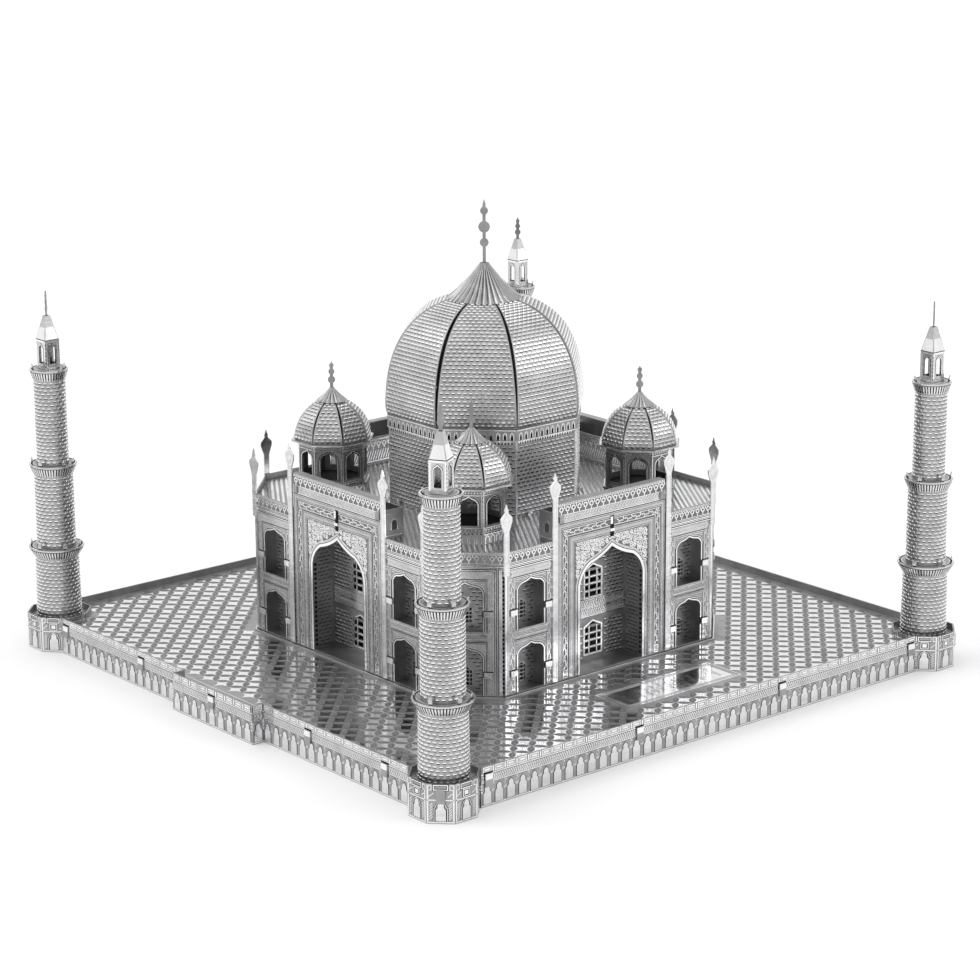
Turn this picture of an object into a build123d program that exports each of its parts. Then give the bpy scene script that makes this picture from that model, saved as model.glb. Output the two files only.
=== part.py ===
"""Desk model of a domed mausoleum on a square plinth, folded from thin stainless steel sheet.

Millimetres, +Z up. The origin is on the ground under the middle of the plinth, and -Y is the
front, where the entrance block stands out. Every piece is sheet of one thickness, and the
pieces hold each other by tabs that pass through slots and are folded over behind them.
"""
from build123d import *
import math
import os

os.makedirs("parts", exist_ok=True)

# ---------------------------------------------------------------- driving dimensions
SHEET = 0.3                 # thickness of the steel sheet
GAP = 0.05                  # clearance between sheets that lie against each other
TAB_WIDTH = 1.8
TAB_FOLD = 1.2              # length of a tab's folded end
SKIRT_TAB_DROP = 2.65       # the tabs along the skirts are folded down this far
SLOT_CLEARANCE = 0.1        # on each side of a tab in its slot
OCTAGON_TURN = 22.5         # puts the flats of an octagon square to the axes

# plinth
MINARET_AXIS = 68.0         # minarets stand at plus and minus this in X and Y
DECK_TOP = 6.75
SKIRT_HEIGHT = 8.2
SKIRT_PLANE = 71.6          # outer face of the skirts
SKIRT_END = 61.75           # where a skirt meets a corner turret
TURRET_APOTHEM = 6.7
TURRET_HEIGHT = 8.0
BLOCK_HALF = 14.3           # entrance block
BLOCK_FACE = 74.35
SKIRT_TABS = (-60.0, -20.3, 20.3, 60.0)
FRONT_TABS = (-59.7, -30.0, 29.6, 54.4)

# building
FACADE_PLANE = 41.0
FACADE_HALF = 29.6
FLOOR_TOP = DECK_TOP + SHEET
FLOOR_MARGIN = 0.7
ROOF_TOP = 36.8
PARAPET_TOP = 38.0
PORTAL_TOP = 45.6
PORTAL_HALF = 15.2
PORTAL_RETURN = 5.8         # depth of the box behind the raised portal
RETURN_TOP = 43.2
RETURN_HALF = 14.8
PORTAL_FLANGE = 2.0         # depth of the portal's top edge, folded back
SILL_RISE = 0.3             # lowest openings start this far above the floor plate
IWAN = dict(width=17.7, sill=FLOOR_TOP + SILL_RISE, spring=26.6, apex=33.8)
LOW_WINDOW = dict(width=7.0, sill=FLOOR_TOP + SILL_RISE, spring=15.4, apex=17.4)
HIGH_WINDOW = dict(width=7.0, sill=20.9, spring=29.4, apex=31.3)
WINDOW_OFFSET = 22.5
RETURN_WINDOW = dict(width=1.3, sill=38.7, spring=40.2, apex=40.9)
RETURN_WINDOW_INSET = 3.7   # from the facade to the middle of that window
RETURN_TAB = (41.4, 43.0)   # heights between which a return's tab comes through the facade
APEX_SLOT = dict(half=0.45, bottom=36.0, top=40.4)
NICHE_DEPTH = 5.8
LINING_DEPTH = 3.0
LINING_HALF = 3.9
LINING_EARS = (12.3, 25.4)  # heights of the tabs that hold a lining to its wall
EAR_OFFSET = 4.7
FACADE_TABS = (-13.0, 13.0)
ROOF_TONGUES = (-22.5, 22.5)

# pierced lattices in the back walls: middle and width of each column, and height of each row
NICHE_LATTICE = dict(columns=((-1.75, 0.9), (0, 1.8), (1.75, 0.9)), rows=4, pitch=1.55, cell=0.95, crown=0.9)
NICHE_LATTICE_FEET = (8.95, 21.5)
BAY_LATTICE = dict(columns=((-0.8, 0.45), (0, 0.8), (0.8, 0.45)), rows=4, pitch=0.85, cell=0.6, crown=0.6)
BAY_LATTICE_FEET = (8.5, 22.1)

# pinnacles on the facades
PINNACLE_WIDTH = 1.4
PORTAL_PINNACLE = dict(offset=16.05, bottom=FLOOR_TOP + SILL_RISE, bulb=49.3, tip=52.4)
CORNER_PINNACLE = dict(offset=29.2, bottom=33.0, bulb=45.0, tip=48.2)

# main dome
DRUM_APOTHEM = 20.1
DRUM_TOP = 56.3
BAND_BOTTOM = 53.6
# power and round are the exponents of a dome's outline, a squared-off quarter ellipse
DOME = dict(radius=22.6, centre=58.0, height=23.2, bottom=56.4, top_radius=6.9,
            power=2.3, round=2.6, tuck=0.02)
CAP = dict(radius=8.05, bottom=80.65, top_radius=1.0, top=88.2)

# chhatris, the four small domed kiosks on the roof
CHHATRI_AXIS = 23.75
CHHATRI_BASE_TOP = 39.6
KIOSK_APOTHEM = 7.1
BASE_APOTHEM = 7.5          # wall of the tray under a kiosk
KIOSK_TOP = 48.65
KIOSK_ARCH = dict(width=3.5, sill=40.9, spring=45.3, apex=46.9)
EAVE_APOTHEM = 8.6
SMALL_DOME = dict(radius=8.8, centre=47.6, height=10.3, bottom=49.05, top_radius=2.8,
                  power=2.414, round=1.732, tuck=0.04)
SMALL_CAP = dict(radius=3.35, bottom=57.3, top_radius=0.45, top=60.2)

# minarets: outer radius of each shaft stage at its foot and head, and the gallery above it
STAGES = (
    dict(name="lower", foot=DECK_TOP + GAP, foot_radius=4.95, head_radius=4.75,
         gallery_top=23.2, gallery_radius=6.15),
    dict(name="middle", foot=23.2 + GAP, foot_radius=4.3, head_radius=4.25,
         gallery_top=42.05, gallery_radius=5.25),
    dict(name="upper", foot=42.05 + GAP, foot_radius=3.5, head_radius=3.45,
         gallery_top=63.5, gallery_radius=4.25),
)
GALLERY_DROP = 2.3          # height of the flared collar under a gallery
LANTERN = dict(width=3.6, bottom=63.5 + GAP, wall_top=70.1, apex=75.3)
LANTERN_ARCH = dict(width=1.5, sill=64.7, spring=67.9, apex=68.9)
LANTERN_TURNS = {"front_right": 30, "front_left": 0, "back_right": 0, "back_left": 0}

FINIAL_STEM = 0.7
MAIN_FINIAL = dict(foot=86.0, beads=((92.5, 0.95), (95.9, 1.25), (99.4, 0.85)), tip=102.0)
CHHATRI_FINIAL = dict(foot=59.0, beads=((61.8, 0.8), (63.6, 0.65), (65.0, 0.5)), tip=66.0)
LANTERN_FINIAL = dict(foot=73.4, beads=((76.9, 0.7), (78.4, 0.6), (79.7, 0.45)), tip=80.8)

CORNERS = {"front_right": (1, -1), "front_left": (-1, -1), "back_right": (1, 1), "back_left": (-1, 1)}
SIDES = {"front": 0, "right": 90, "back": 180, "left": 270}
COS_EIGHTH = math.cos(math.radians(OCTAGON_TURN))


# ---------------------------------------------------------------- shapes
def slab(points, bottom, top):
    """Upright prism on a plan outline."""
    return Pos(0, 0, bottom) * extrude(Polygon(*points, align=None), top - bottom, dir=(0, 0, 1))


def octagon(apothem):
    """Corners of a regular octagon with flats square to the axes."""
    radius = apothem / COS_EIGHTH
    turns = [math.radians(OCTAGON_TURN + 45 * corner) for corner in range(8)]
    return [(radius * math.cos(turn), radius * math.sin(turn)) for turn in turns]


def octagon_tube(apothem, bottom, top):
    """Octagonal wall of sheet, with its outer face at the apothem."""
    return slab(octagon(apothem), bottom, top) - slab(octagon(apothem - SHEET), bottom, top)


def block(x_range, y_range, z_range):
    """Box between two values along each axis."""
    size = [high - low for low, high in (x_range, y_range, z_range)]
    centre = [(high + low) / 2 for low, high in (x_range, y_range, z_range)]
    return Pos(*centre) * Box(*size)


def arch_face(width, sill, spring, apex):
    """Pointed arch opening, drawn with its middle on the local vertical axis."""
    half = width / 2
    rise = apex - spring
    knee_across = 0.66 * half
    knee_up = 0.62 * rise
    points = [(half, sill), (half, spring), (knee_across, spring + knee_up), (0, apex)]
    mirrored = [(-across, up) for across, up in reversed(points[:-1])]
    bulge = 0.12 * math.hypot(half - knee_across, knee_up)
    flick = 0.05 * math.hypot(knee_across, rise - knee_up)
    edges = [
        Line(points[0], points[1]),
        SagittaArc(points[1], points[2], -bulge),
        SagittaArc(points[2], points[3], flick),
        SagittaArc(points[3], mirrored[0], flick),
        SagittaArc(mirrored[0], mirrored[1], -bulge),
        Line(mirrored[1], mirrored[2]),
        Line(mirrored[2], points[0]),
    ]
    return make_face(edges)


def front_plane(distance):
    """Drawing plane facing -Y at a distance from the middle: local X is X and local Y is Z."""
    return Plane(origin=(0, -distance, 0), x_dir=(1, 0, 0), z_dir=(0, -1, 0))


def front_sheet(face, distance):
    """Sheet with its outer face on the plane that faces -Y at a distance."""
    return extrude(front_plane(distance) * face, SHEET, dir=(0, 1, 0))


def arch_cutter(arch, offset, distance, depth):
    """Prism of an arch opening through anything around a plane that faces -Y."""
    plane = front_plane(distance) * Pos(offset, 0)
    return extrude(plane * arch_face(**arch), depth, both=True)


def turned(shape, degrees):
    """Shape turned about the vertical through the origin."""
    return Rot(0, 0, degrees) * shape


def foot_tab(across, distance, top, bottom):
    """Tab under a sheet that faces -Y: down through a slot, then folded inwards."""
    low = bottom - GAP - SHEET
    sides = (across - TAB_WIDTH / 2, across + TAB_WIDTH / 2)
    upright = block(sides, (-distance, -distance + SHEET), (low, top))
    fold = block(sides, (-distance, -distance + SHEET + TAB_FOLD), (low, low + SHEET))
    return upright + fold


def foot_slot(across, distance, bottom, top):
    """Slot that a foot tab passes through."""
    half = TAB_WIDTH / 2 + SLOT_CLEARANCE
    return block((across - half, across + half),
                 (-distance - SLOT_CLEARANCE, -distance + SHEET + SLOT_CLEARANCE), (bottom, top))


def foot_tabs(distance, top, bottom):
    """Foot tabs under four flats of an octagonal wall."""
    return [turned(foot_tab(0, distance, top, bottom), turn) for turn in SIDES.values()]


def foot_slots(distance, bottom, top):
    """Slots for the foot tabs of an octagonal wall."""
    return [turned(foot_slot(0, distance, bottom, top), turn) for turn in SIDES.values()]


def dome_radius(dome, height):
    """Corner radius of a dome at a height, tucked in a little at its foot."""
    rise = max(0.0, (height - dome["centre"]) / dome["height"])
    radius = dome["radius"] * (1 - rise ** dome["power"]) ** (1 / dome["round"])
    tuck_height = 0.1 * dome["height"]
    tuck = max(0.0, 1 - (height - dome["bottom"]) / tuck_height)
    return radius * (1 - dome["tuck"] * tuck ** 2)


def dome_top(dome):
    """Height at which the dome has narrowed to its top radius."""
    share = 1 - (dome["top_radius"] / dome["radius"]) ** dome["round"]
    return dome["centre"] + dome["height"] * share ** (1 / dome["power"])


def dome_petals(dome, seam):
    """Eight bent strips that close an octagonal dome, with a seam between each pair."""
    steps = 12
    top = dome_top(dome)
    heights = [dome["bottom"] + (top - dome["bottom"]) * math.sin(math.pi / 2 * step / steps)
               for step in range(steps + 1)]
    outer = [(COS_EIGHTH * dome_radius(dome, height), height) for height in heights]
    inner = []
    for index, (across, up) in enumerate(outer):
        before = outer[max(index - 1, 0)]
        after = outer[min(index + 1, steps)]
        run, climb = after[0] - before[0], after[1] - before[1]
        length = math.hypot(run, climb)
        inner.append((across - SHEET * climb / length, up + SHEET * run / length))
    inner[0] = (outer[0][0] - SHEET, outer[0][1])
    profile = make_face([Spline(*outer), Line(outer[-1], inner[-1]), Spline(*inner),
                         Line(inner[0], outer[0])])
    reach = dome["radius"]
    strip = extrude(Plane.XZ * profile, reach, both=True)
    slope = math.tan(math.radians(OCTAGON_TURN))
    edge = seam / 2 / math.cos(math.radians(OCTAGON_TURN))
    wedge = slab([(edge / slope, 0), (2 * reach, 2 * reach * slope - edge),
                  (2 * reach, -2 * reach * slope + edge)], dome["bottom"] - 1, top + 1)
    petal = strip & wedge
    return [turned(petal, 45 * side) for side in range(8)]


def cone_cap(cap):
    """Conical cap of sheet with a hole at its tip for the finial's tongue."""
    lean = math.atan2(cap["top"] - cap["bottom"], cap["radius"] - cap["top_radius"])
    drop = SHEET / math.cos(lean)
    outline = [(cap["radius"], cap["bottom"]), (cap["top_radius"], cap["top"]),
               (cap["top_radius"], cap["top"] - drop), (cap["radius"] - SHEET, cap["bottom"])]
    return revolve(Plane.XZ * Polygon(*outline, align=None), Axis.Z)


def flat_finial(foot, beads, tip):
    """Flat stem with round beads, cut from sheet, standing on the Z axis and facing -Y."""
    half = FINIAL_STEM / 2
    shoulder = tip - 1.2
    face = Polygon((-half, foot), (half, foot), (half, shoulder), (0, tip), (-half, shoulder), align=None)
    for height, radius in beads:
        face += Pos(0, height) * Circle(radius)
    return extrude(front_plane(SHEET / 2) * face, SHEET, dir=(0, 1, 0))


def write(name, shape):
    """Write a node's solids to its file, labelled with the node's name."""
    solids = list(shape) if isinstance(shape, (list, tuple)) else [shape]
    node = Compound(children=[solid for piece in solids for solid in piece.solids()])
    node.label = name
    export_step(node, f"parts/{name}.step")


# ---------------------------------------------------------------- plinth
def skirt_tab(across, plane, height):
    """Tab of the deck: out through a skirt that faces -Y, then folded down in front of it."""
    sides = (across - TAB_WIDTH / 2, across + TAB_WIDTH / 2)
    out = block(sides, (-plane - GAP - SHEET, -plane + SHEET + 2 * GAP + 0.5), (height - SHEET, height))
    fold = block(sides, (-plane - GAP - SHEET, -plane - GAP), (height - SKIRT_TAB_DROP, height))
    return out + fold


def skirt_slot(across, plane, height):
    """Slot in a skirt for a tab of the deck."""
    half = TAB_WIDTH / 2 + SLOT_CLEARANCE
    return block((across - half, across + half), (-plane - 1, -plane + SHEET + 0.1),
                 (height - SHEET - SLOT_CLEARANCE, height + SLOT_CLEARANCE))


def turret_tab(sign_x, sign_y):
    """Tab of the deck through the outermost flat of a corner turret, folded down."""
    tab = skirt_tab(0, TURRET_APOTHEM, DECK_TOP)
    return Pos(sign_x * MINARET_AXIS, sign_y * MINARET_AXIS) * turned(tab, outward_turn(sign_x, sign_y))


def turret_slot(sign_x, sign_y):
    """Slot in a corner turret for its tab."""
    slot = skirt_slot(0, TURRET_APOTHEM, DECK_TOP)
    return Pos(sign_x * MINARET_AXIS, sign_y * MINARET_AXIS) * turned(slot, outward_turn(sign_x, sign_y))


def outward_turn(sign_x, sign_y):
    """Turn that takes a shape facing -Y to face a corner."""
    return math.degrees(math.atan2(sign_y, sign_x)) + 90


def facade_slots(bottom, top):
    """Slots for the foot tabs of the facades and the chamfer walls."""
    slots = []
    for turn in SIDES.values():
        slots += [turned(foot_slot(across, FACADE_PLANE, bottom, top), turn) for across in FACADE_TABS]
        slots.append(turned(foot_slot(0, CHAMFER_PLANE, bottom, top), turn + 45))
    return slots


CHAMFER_PLANE = (FACADE_PLANE + FACADE_HALF) / math.sqrt(2)
CHAMFER_HALF = (FACADE_PLANE - FACADE_HALF) / math.sqrt(2)


def wall_octagon(inset):
    """Plan of the building's eight walls, moved in by an inset."""
    face = FACADE_PLANE - inset
    half = (CHAMFER_PLANE - inset) * math.sqrt(2) - face
    return [(face, -half), (face, half), (half, face), (-half, face),
            (-face, half), (-face, -half), (-half, -face), (half, -face)]


def make_plinth():
    """Deck plate, four skirts and four corner turrets."""
    deck_half = SKIRT_PLANE - SHEET - GAP
    deck_bottom = DECK_TOP - SHEET
    levels = (deck_bottom, DECK_TOP)
    deck = block((-deck_half, deck_half), (-deck_half, deck_half), levels)
    deck += block((-BLOCK_HALF + SHEET + GAP, BLOCK_HALF - SHEET - GAP),
                  (-BLOCK_FACE + SHEET + GAP, 0), levels)
    for x, y in CORNERS.values():
        seat = slab(octagon(TURRET_APOTHEM - SHEET - GAP), *levels)
        deck += Pos(x * MINARET_AXIS, y * MINARET_AXIS) * seat
        deck += turret_tab(x, y)
    for name, turn in SIDES.items():
        for across in (FRONT_TABS if name == "front" else SKIRT_TABS):
            deck += turned(skirt_tab(across, SKIRT_PLANE, DECK_TOP), turn)
    deck += skirt_tab(0, BLOCK_FACE, DECK_TOP)
    for cutter in facade_slots(deck_bottom - 1, DECK_TOP + 1):
        deck -= cutter
    write("deck_plate", deck)

    for name, turn in SIDES.items():
        if name == "front":
            inner = BLOCK_HALF - SHEET
            outline = [(-SKIRT_END, -SKIRT_PLANE), (-BLOCK_HALF, -SKIRT_PLANE),
                       (-BLOCK_HALF, -BLOCK_FACE), (BLOCK_HALF, -BLOCK_FACE),
                       (BLOCK_HALF, -SKIRT_PLANE), (SKIRT_END, -SKIRT_PLANE),
                       (SKIRT_END, -SKIRT_PLANE + SHEET), (inner, -SKIRT_PLANE + SHEET),
                       (inner, -BLOCK_FACE + SHEET), (-inner, -BLOCK_FACE + SHEET),
                       (-inner, -SKIRT_PLANE + SHEET), (-SKIRT_END, -SKIRT_PLANE + SHEET)]
            skirt = slab(outline, 0, SKIRT_HEIGHT) - skirt_slot(0, BLOCK_FACE, DECK_TOP)
            tabs = FRONT_TABS
        else:
            skirt = block((-SKIRT_END, SKIRT_END), (-SKIRT_PLANE, -SKIRT_PLANE + SHEET), (0, SKIRT_HEIGHT))
            tabs = SKIRT_TABS
        for across in tabs:
            skirt -= skirt_slot(across, SKIRT_PLANE, DECK_TOP)
        write(f"skirt_{name}", turned(skirt, turn))

    for name, (x, y) in CORNERS.items():
        turret = Pos(x * MINARET_AXIS, y * MINARET_AXIS) * octagon_tube(TURRET_APOTHEM, 0, TURRET_HEIGHT)
        limit = SKIRT_PLANE - SHEET
        reach_x = sorted((0, x * limit))
        reach_y = sorted((0, y * limit))
        turret -= block(reach_x, reach_y, (-1, DECK_TOP + GAP))
        turret -= turret_slot(x, y)
        write(f"turret_{name}", turret)


# ---------------------------------------------------------------- minarets
def shaft(stage):
    """Rolled tube of one stage, narrowing a little upwards."""
    top = stage["gallery_top"] - SHEET - GAP
    foot, head = stage["foot_radius"], stage["head_radius"]
    outline = [(foot - SHEET, stage["foot"]), (foot, stage["foot"]), (head, top), (head - SHEET, top)]
    return revolve(Plane.XZ * Polygon(*outline, align=None), Axis.Z)


def gallery(stage):
    """Flat ring with a flared collar folded down under its rim."""
    top = stage["gallery_top"]
    rim = stage["gallery_radius"]
    neck = stage["head_radius"] + 0.15
    bore = stage["head_radius"] - 7 * SHEET
    outline = [(bore, top), (rim, top), (rim, top - SHEET), (neck + SHEET, top - GALLERY_DROP),
               (neck, top - GALLERY_DROP), (rim - SHEET, top - SHEET), (bore, top - SHEET)]
    return revolve(Plane.XZ * Polygon(*outline, align=None), Axis.Z)


def lantern():
    """Square lantern with an arch in each side, folded in to a pyramid at the top."""
    half = LANTERN["width"] / 2
    hole = FINIAL_STEM / 2 + SLOT_CLEARANCE
    wall_top, apex = LANTERN["wall_top"], LANTERN["apex"]
    body = block((-half, half), (-half, half), (LANTERN["bottom"], wall_top))
    body -= block((-half + SHEET, half - SHEET), (-half + SHEET, half - SHEET), (LANTERN["bottom"], wall_top))
    for turn in (0, 90):
        body -= turned(arch_cutter(LANTERN_ARCH, 0, 0, 2 * half), turn)
    base = Pos(0, 0, wall_top) * Rectangle(2 * half, 2 * half)
    tip = Pos(0, 0, apex) * Rectangle(2 * hole + SHEET, 2 * hole + SHEET)
    roof = loft([base, tip])
    inner = 2 * (half - SHEET)
    roof -= loft([Pos(0, 0, wall_top) * Rectangle(inner, inner),
                  Pos(0, 0, apex) * Rectangle(2 * hole, 2 * hole)])
    return body + roof


def make_minarets():
    """Three shaft stages, three galleries, a lantern and a finial on each corner."""
    galleries = {stage["name"]: [] for stage in STAGES}
    finials = []
    for name, (x, y) in CORNERS.items():
        place = Pos(x * MINARET_AXIS, y * MINARET_AXIS)
        for stage in STAGES:
            write(f"minaret_{name}_{stage['name']}_shaft", place * shaft(stage))
            galleries[stage["name"]].append(place * gallery(stage))
        write(f"minaret_{name}_lantern", place * turned(lantern(), LANTERN_TURNS[name]))
        finials.append(place * turned(flat_finial(**LANTERN_FINIAL), 45 * x * -y))
    for level, rings in galleries.items():
        write(f"minaret_{level}_galleries", rings)
    write("minaret_finials", finials)


# ---------------------------------------------------------------- building
def roof_tongue(across, distance):
    """Tongue of the roof plate that ends flush in a slot of a wall facing -Y."""
    return block((across - TAB_WIDTH / 2, across + TAB_WIDTH / 2), (-distance, -distance + 3 * SHEET),
                 (ROOF_TOP - SHEET, ROOF_TOP))


def tongue_slot(across, distance):
    """Slot in a wall for a tongue of the roof plate."""
    half = TAB_WIDTH / 2 + SLOT_CLEARANCE
    return block((across - half, across + half), (-distance - SHEET, -distance + 2 * SHEET),
                 (ROOF_TOP - SHEET - SLOT_CLEARANCE, ROOF_TOP + SLOT_CLEARANCE))


def lattice_cutter(lattice, foot, distance):
    """Prisms of the cells of a pierced lattice, with a pointed cell over its middle column."""
    cells = []
    depth = (-distance - 1, -distance + 1)
    for middle, width in lattice["columns"]:
        sides = (middle - width / 2, middle + width / 2)
        for row in range(lattice["rows"]):
            low = foot + row * lattice["pitch"]
            cells.append(block(sides, depth, (low, low + lattice["cell"])))
    half = lattice["columns"][1][1] / 2
    low = foot + lattice["rows"] * lattice["pitch"]
    crown = Polygon((-half, low), (half, low), (half, low + 0.2), (0, low + lattice["crown"]),
                    (-half, low + 0.2), align=None)
    cells.append(extrude(front_plane(distance) * crown, 1, both=True))
    return cells


def ear_sides(side):
    """Values between which a lining's ear reaches across, on one side of its window."""
    return sorted((side * (EAR_OFFSET - TAB_WIDTH / 2), side * (EAR_OFFSET + TAB_WIDTH / 2)))


def lining_ear(side, height, distance):
    """Ear of a lining: sideways behind the wall, out through it, then folded down in front."""
    face = -distance - GAP - SHEET
    behind = -distance + SHEET + GAP
    strap_sides = sorted((side * (LINING_HALF - SHEET), side * (EAR_OFFSET + TAB_WIDTH / 2)))
    strap = block(strap_sides, (behind, behind + SHEET), (height - SHEET, height + 1.0))
    out = block(ear_sides(side), (face, behind + SHEET), (height - SHEET, height))
    fold = block(ear_sides(side), (face, face + SHEET), (height - TAB_FOLD, height))
    return strap + out + fold


def ear_slots(offset, distance):
    """Slots in a wall for the four ears of the lining behind one pair of windows."""
    slots = []
    for side in (-1, 1):
        low, high = ear_sides(side)
        for height in LINING_EARS:
            slots.append(block((offset + low - SLOT_CLEARANCE, offset + high + SLOT_CLEARANCE),
                               (-distance - 1, -distance + SHEET + 1),
                               (height - SHEET - SLOT_CLEARANCE, height + SLOT_CLEARANCE)))
    return slots


def facade():
    """One long wall facing -Y: two side bays and the raised portal between them."""
    bottom = FLOOR_TOP
    outline = Polygon((-FACADE_HALF, bottom), (FACADE_HALF, bottom), (FACADE_HALF, PARAPET_TOP),
                      (PORTAL_HALF, PARAPET_TOP), (PORTAL_HALF, PORTAL_TOP), (-PORTAL_HALF, PORTAL_TOP),
                      (-PORTAL_HALF, PARAPET_TOP), (-FACADE_HALF, PARAPET_TOP), align=None)
    wall = front_sheet(outline, FACADE_PLANE)
    through = (-FACADE_PLANE - 1, -FACADE_PLANE + 1)
    wall -= arch_cutter(IWAN, 0, FACADE_PLANE, 1)
    for side in (-1, 1):
        for window in (LOW_WINDOW, HIGH_WINDOW):
            wall -= arch_cutter(window, side * WINDOW_OFFSET, FACADE_PLANE, 1)
        for cutter in ear_slots(side * WINDOW_OFFSET, FACADE_PLANE):
            wall -= cutter
        tab_sides = sorted((side * (RETURN_HALF - SHEET - SLOT_CLEARANCE),
                            side * (RETURN_HALF + SLOT_CLEARANCE)))
        wall -= block(tab_sides, through, (RETURN_TAB[0] - SLOT_CLEARANCE, RETURN_TAB[1] + SLOT_CLEARANCE))
    slot_sides = (-APEX_SLOT["half"], APEX_SLOT["half"])
    wall -= block(slot_sides, through, (APEX_SLOT["bottom"], APEX_SLOT["top"]))
    wall += block((-PORTAL_HALF, PORTAL_HALF), (-FACADE_PLANE, -FACADE_PLANE + PORTAL_FLANGE),
                  (PORTAL_TOP - SHEET, PORTAL_TOP))
    for across in FACADE_TABS:
        wall += foot_tab(across, FACADE_PLANE, bottom, DECK_TOP - SHEET)
    for across in ROOF_TONGUES:
        wall -= tongue_slot(across, FACADE_PLANE)
    return wall


def chamfer_wall():
    """One short corner wall, made facing -Y, with two stacked arches."""
    half = CHAMFER_HALF - SHEET
    outline = Polygon((-half, FLOOR_TOP), (half, FLOOR_TOP), (half, PARAPET_TOP),
                      (-half, PARAPET_TOP), align=None)
    wall = front_sheet(outline, CHAMFER_PLANE)
    for window in (LOW_WINDOW, HIGH_WINDOW):
        wall -= arch_cutter(window, 0, CHAMFER_PLANE, 1)
    for cutter in ear_slots(0, CHAMFER_PLANE):
        wall -= cutter
    wall -= tongue_slot(0, CHAMFER_PLANE)
    return wall + foot_tab(0, CHAMFER_PLANE, FLOOR_TOP, DECK_TOP - SHEET)


def iwan_niche():
    """Open-fronted box behind the portal arch, with two lattices in its back wall."""
    half = IWAN["width"] / 2 + 0.4
    front = FACADE_PLANE - SHEET - GAP
    back = front - NICHE_DEPTH
    levels = (FLOOR_TOP + GAP, IWAN["apex"] + 1.0)
    outer = block((-half - SHEET, half + SHEET), (-front, -back), levels)
    niche = outer - block((-half, half), (-front - 1, -back - SHEET), (levels[0] + SHEET, levels[1] - SHEET))
    for foot in NICHE_LATTICE_FEET:
        for cutter in lattice_cutter(NICHE_LATTICE, foot, back):
            niche -= cutter
    return niche


def niche_lining(distance):
    """Box behind two stacked windows of a wall that faces -Y, with a shelf and two small lattices."""
    front = distance - SHEET - GAP
    back = front - LINING_DEPTH
    bottom, top = FLOOR_TOP + GAP, HIGH_WINDOW["apex"] + 1.0
    shelf = HIGH_WINDOW["sill"] - SHEET
    inner = (-LINING_HALF + SHEET, LINING_HALF - SHEET)
    depth = (-front - 1, -back - SHEET)
    lining = block((-LINING_HALF, LINING_HALF), (-front, -back), (bottom, top))
    lining -= block(inner, depth, (bottom - 1, shelf - SHEET))
    lining -= block(inner, depth, (shelf, top - SHEET))
    for foot in BAY_LATTICE_FEET:
        for cutter in lattice_cutter(BAY_LATTICE, foot, back):
            lining -= cutter
    for side in (-1, 1):
        for height in LINING_EARS:
            lining += lining_ear(side, height, distance)
    return lining


def portal_return():
    """Box that backs the raised part of the portal, open at the front, the top and the bottom."""
    half = RETURN_HALF
    front = FACADE_PLANE - SHEET - GAP
    back = front - PORTAL_RETURN
    levels = (ROOF_TOP + GAP, RETURN_TOP)
    walls = block((-half, half), (-front, -back), levels)
    walls -= block((-half + SHEET, half - SHEET), (-front - 1, -back - SHEET), levels)
    walls -= turned(arch_cutter(RETURN_WINDOW, RETURN_WINDOW_INSET - FACADE_PLANE, 0, 2 * half), 90)
    face = -FACADE_PLANE - GAP - SHEET
    for side in (-1, 1):
        walls += block(sorted((side * (half - SHEET), side * half)), (face, -front + 1), RETURN_TAB)
        walls += block(sorted((side * (half - TAB_FOLD), side * half)), (face, face + SHEET), RETURN_TAB)
    return walls


def pinnacle(offset, bottom, bulb, tip):
    """Flat strip on the front of a facade that rises to a bulb and a pointed tip."""
    half = PINNACLE_WIDTH / 2
    waist = bulb - 2.6
    bulb_half = 1.5
    right = [(half, bottom), (half, waist), (bulb_half, bulb - 0.5), (bulb_half, bulb + 0.3),
             (0.4, bulb + 1.4), (0.5, bulb + 1.9), (0.3, bulb + 2.3)]
    left = [(-across, up) for across, up in reversed(right)]
    outline = Polygon(*right, (0, tip), *left, align=None)
    return extrude(front_plane(FACADE_PLANE + GAP) * Pos(offset, 0) * outline, SHEET, dir=(0, -1, 0))


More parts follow.
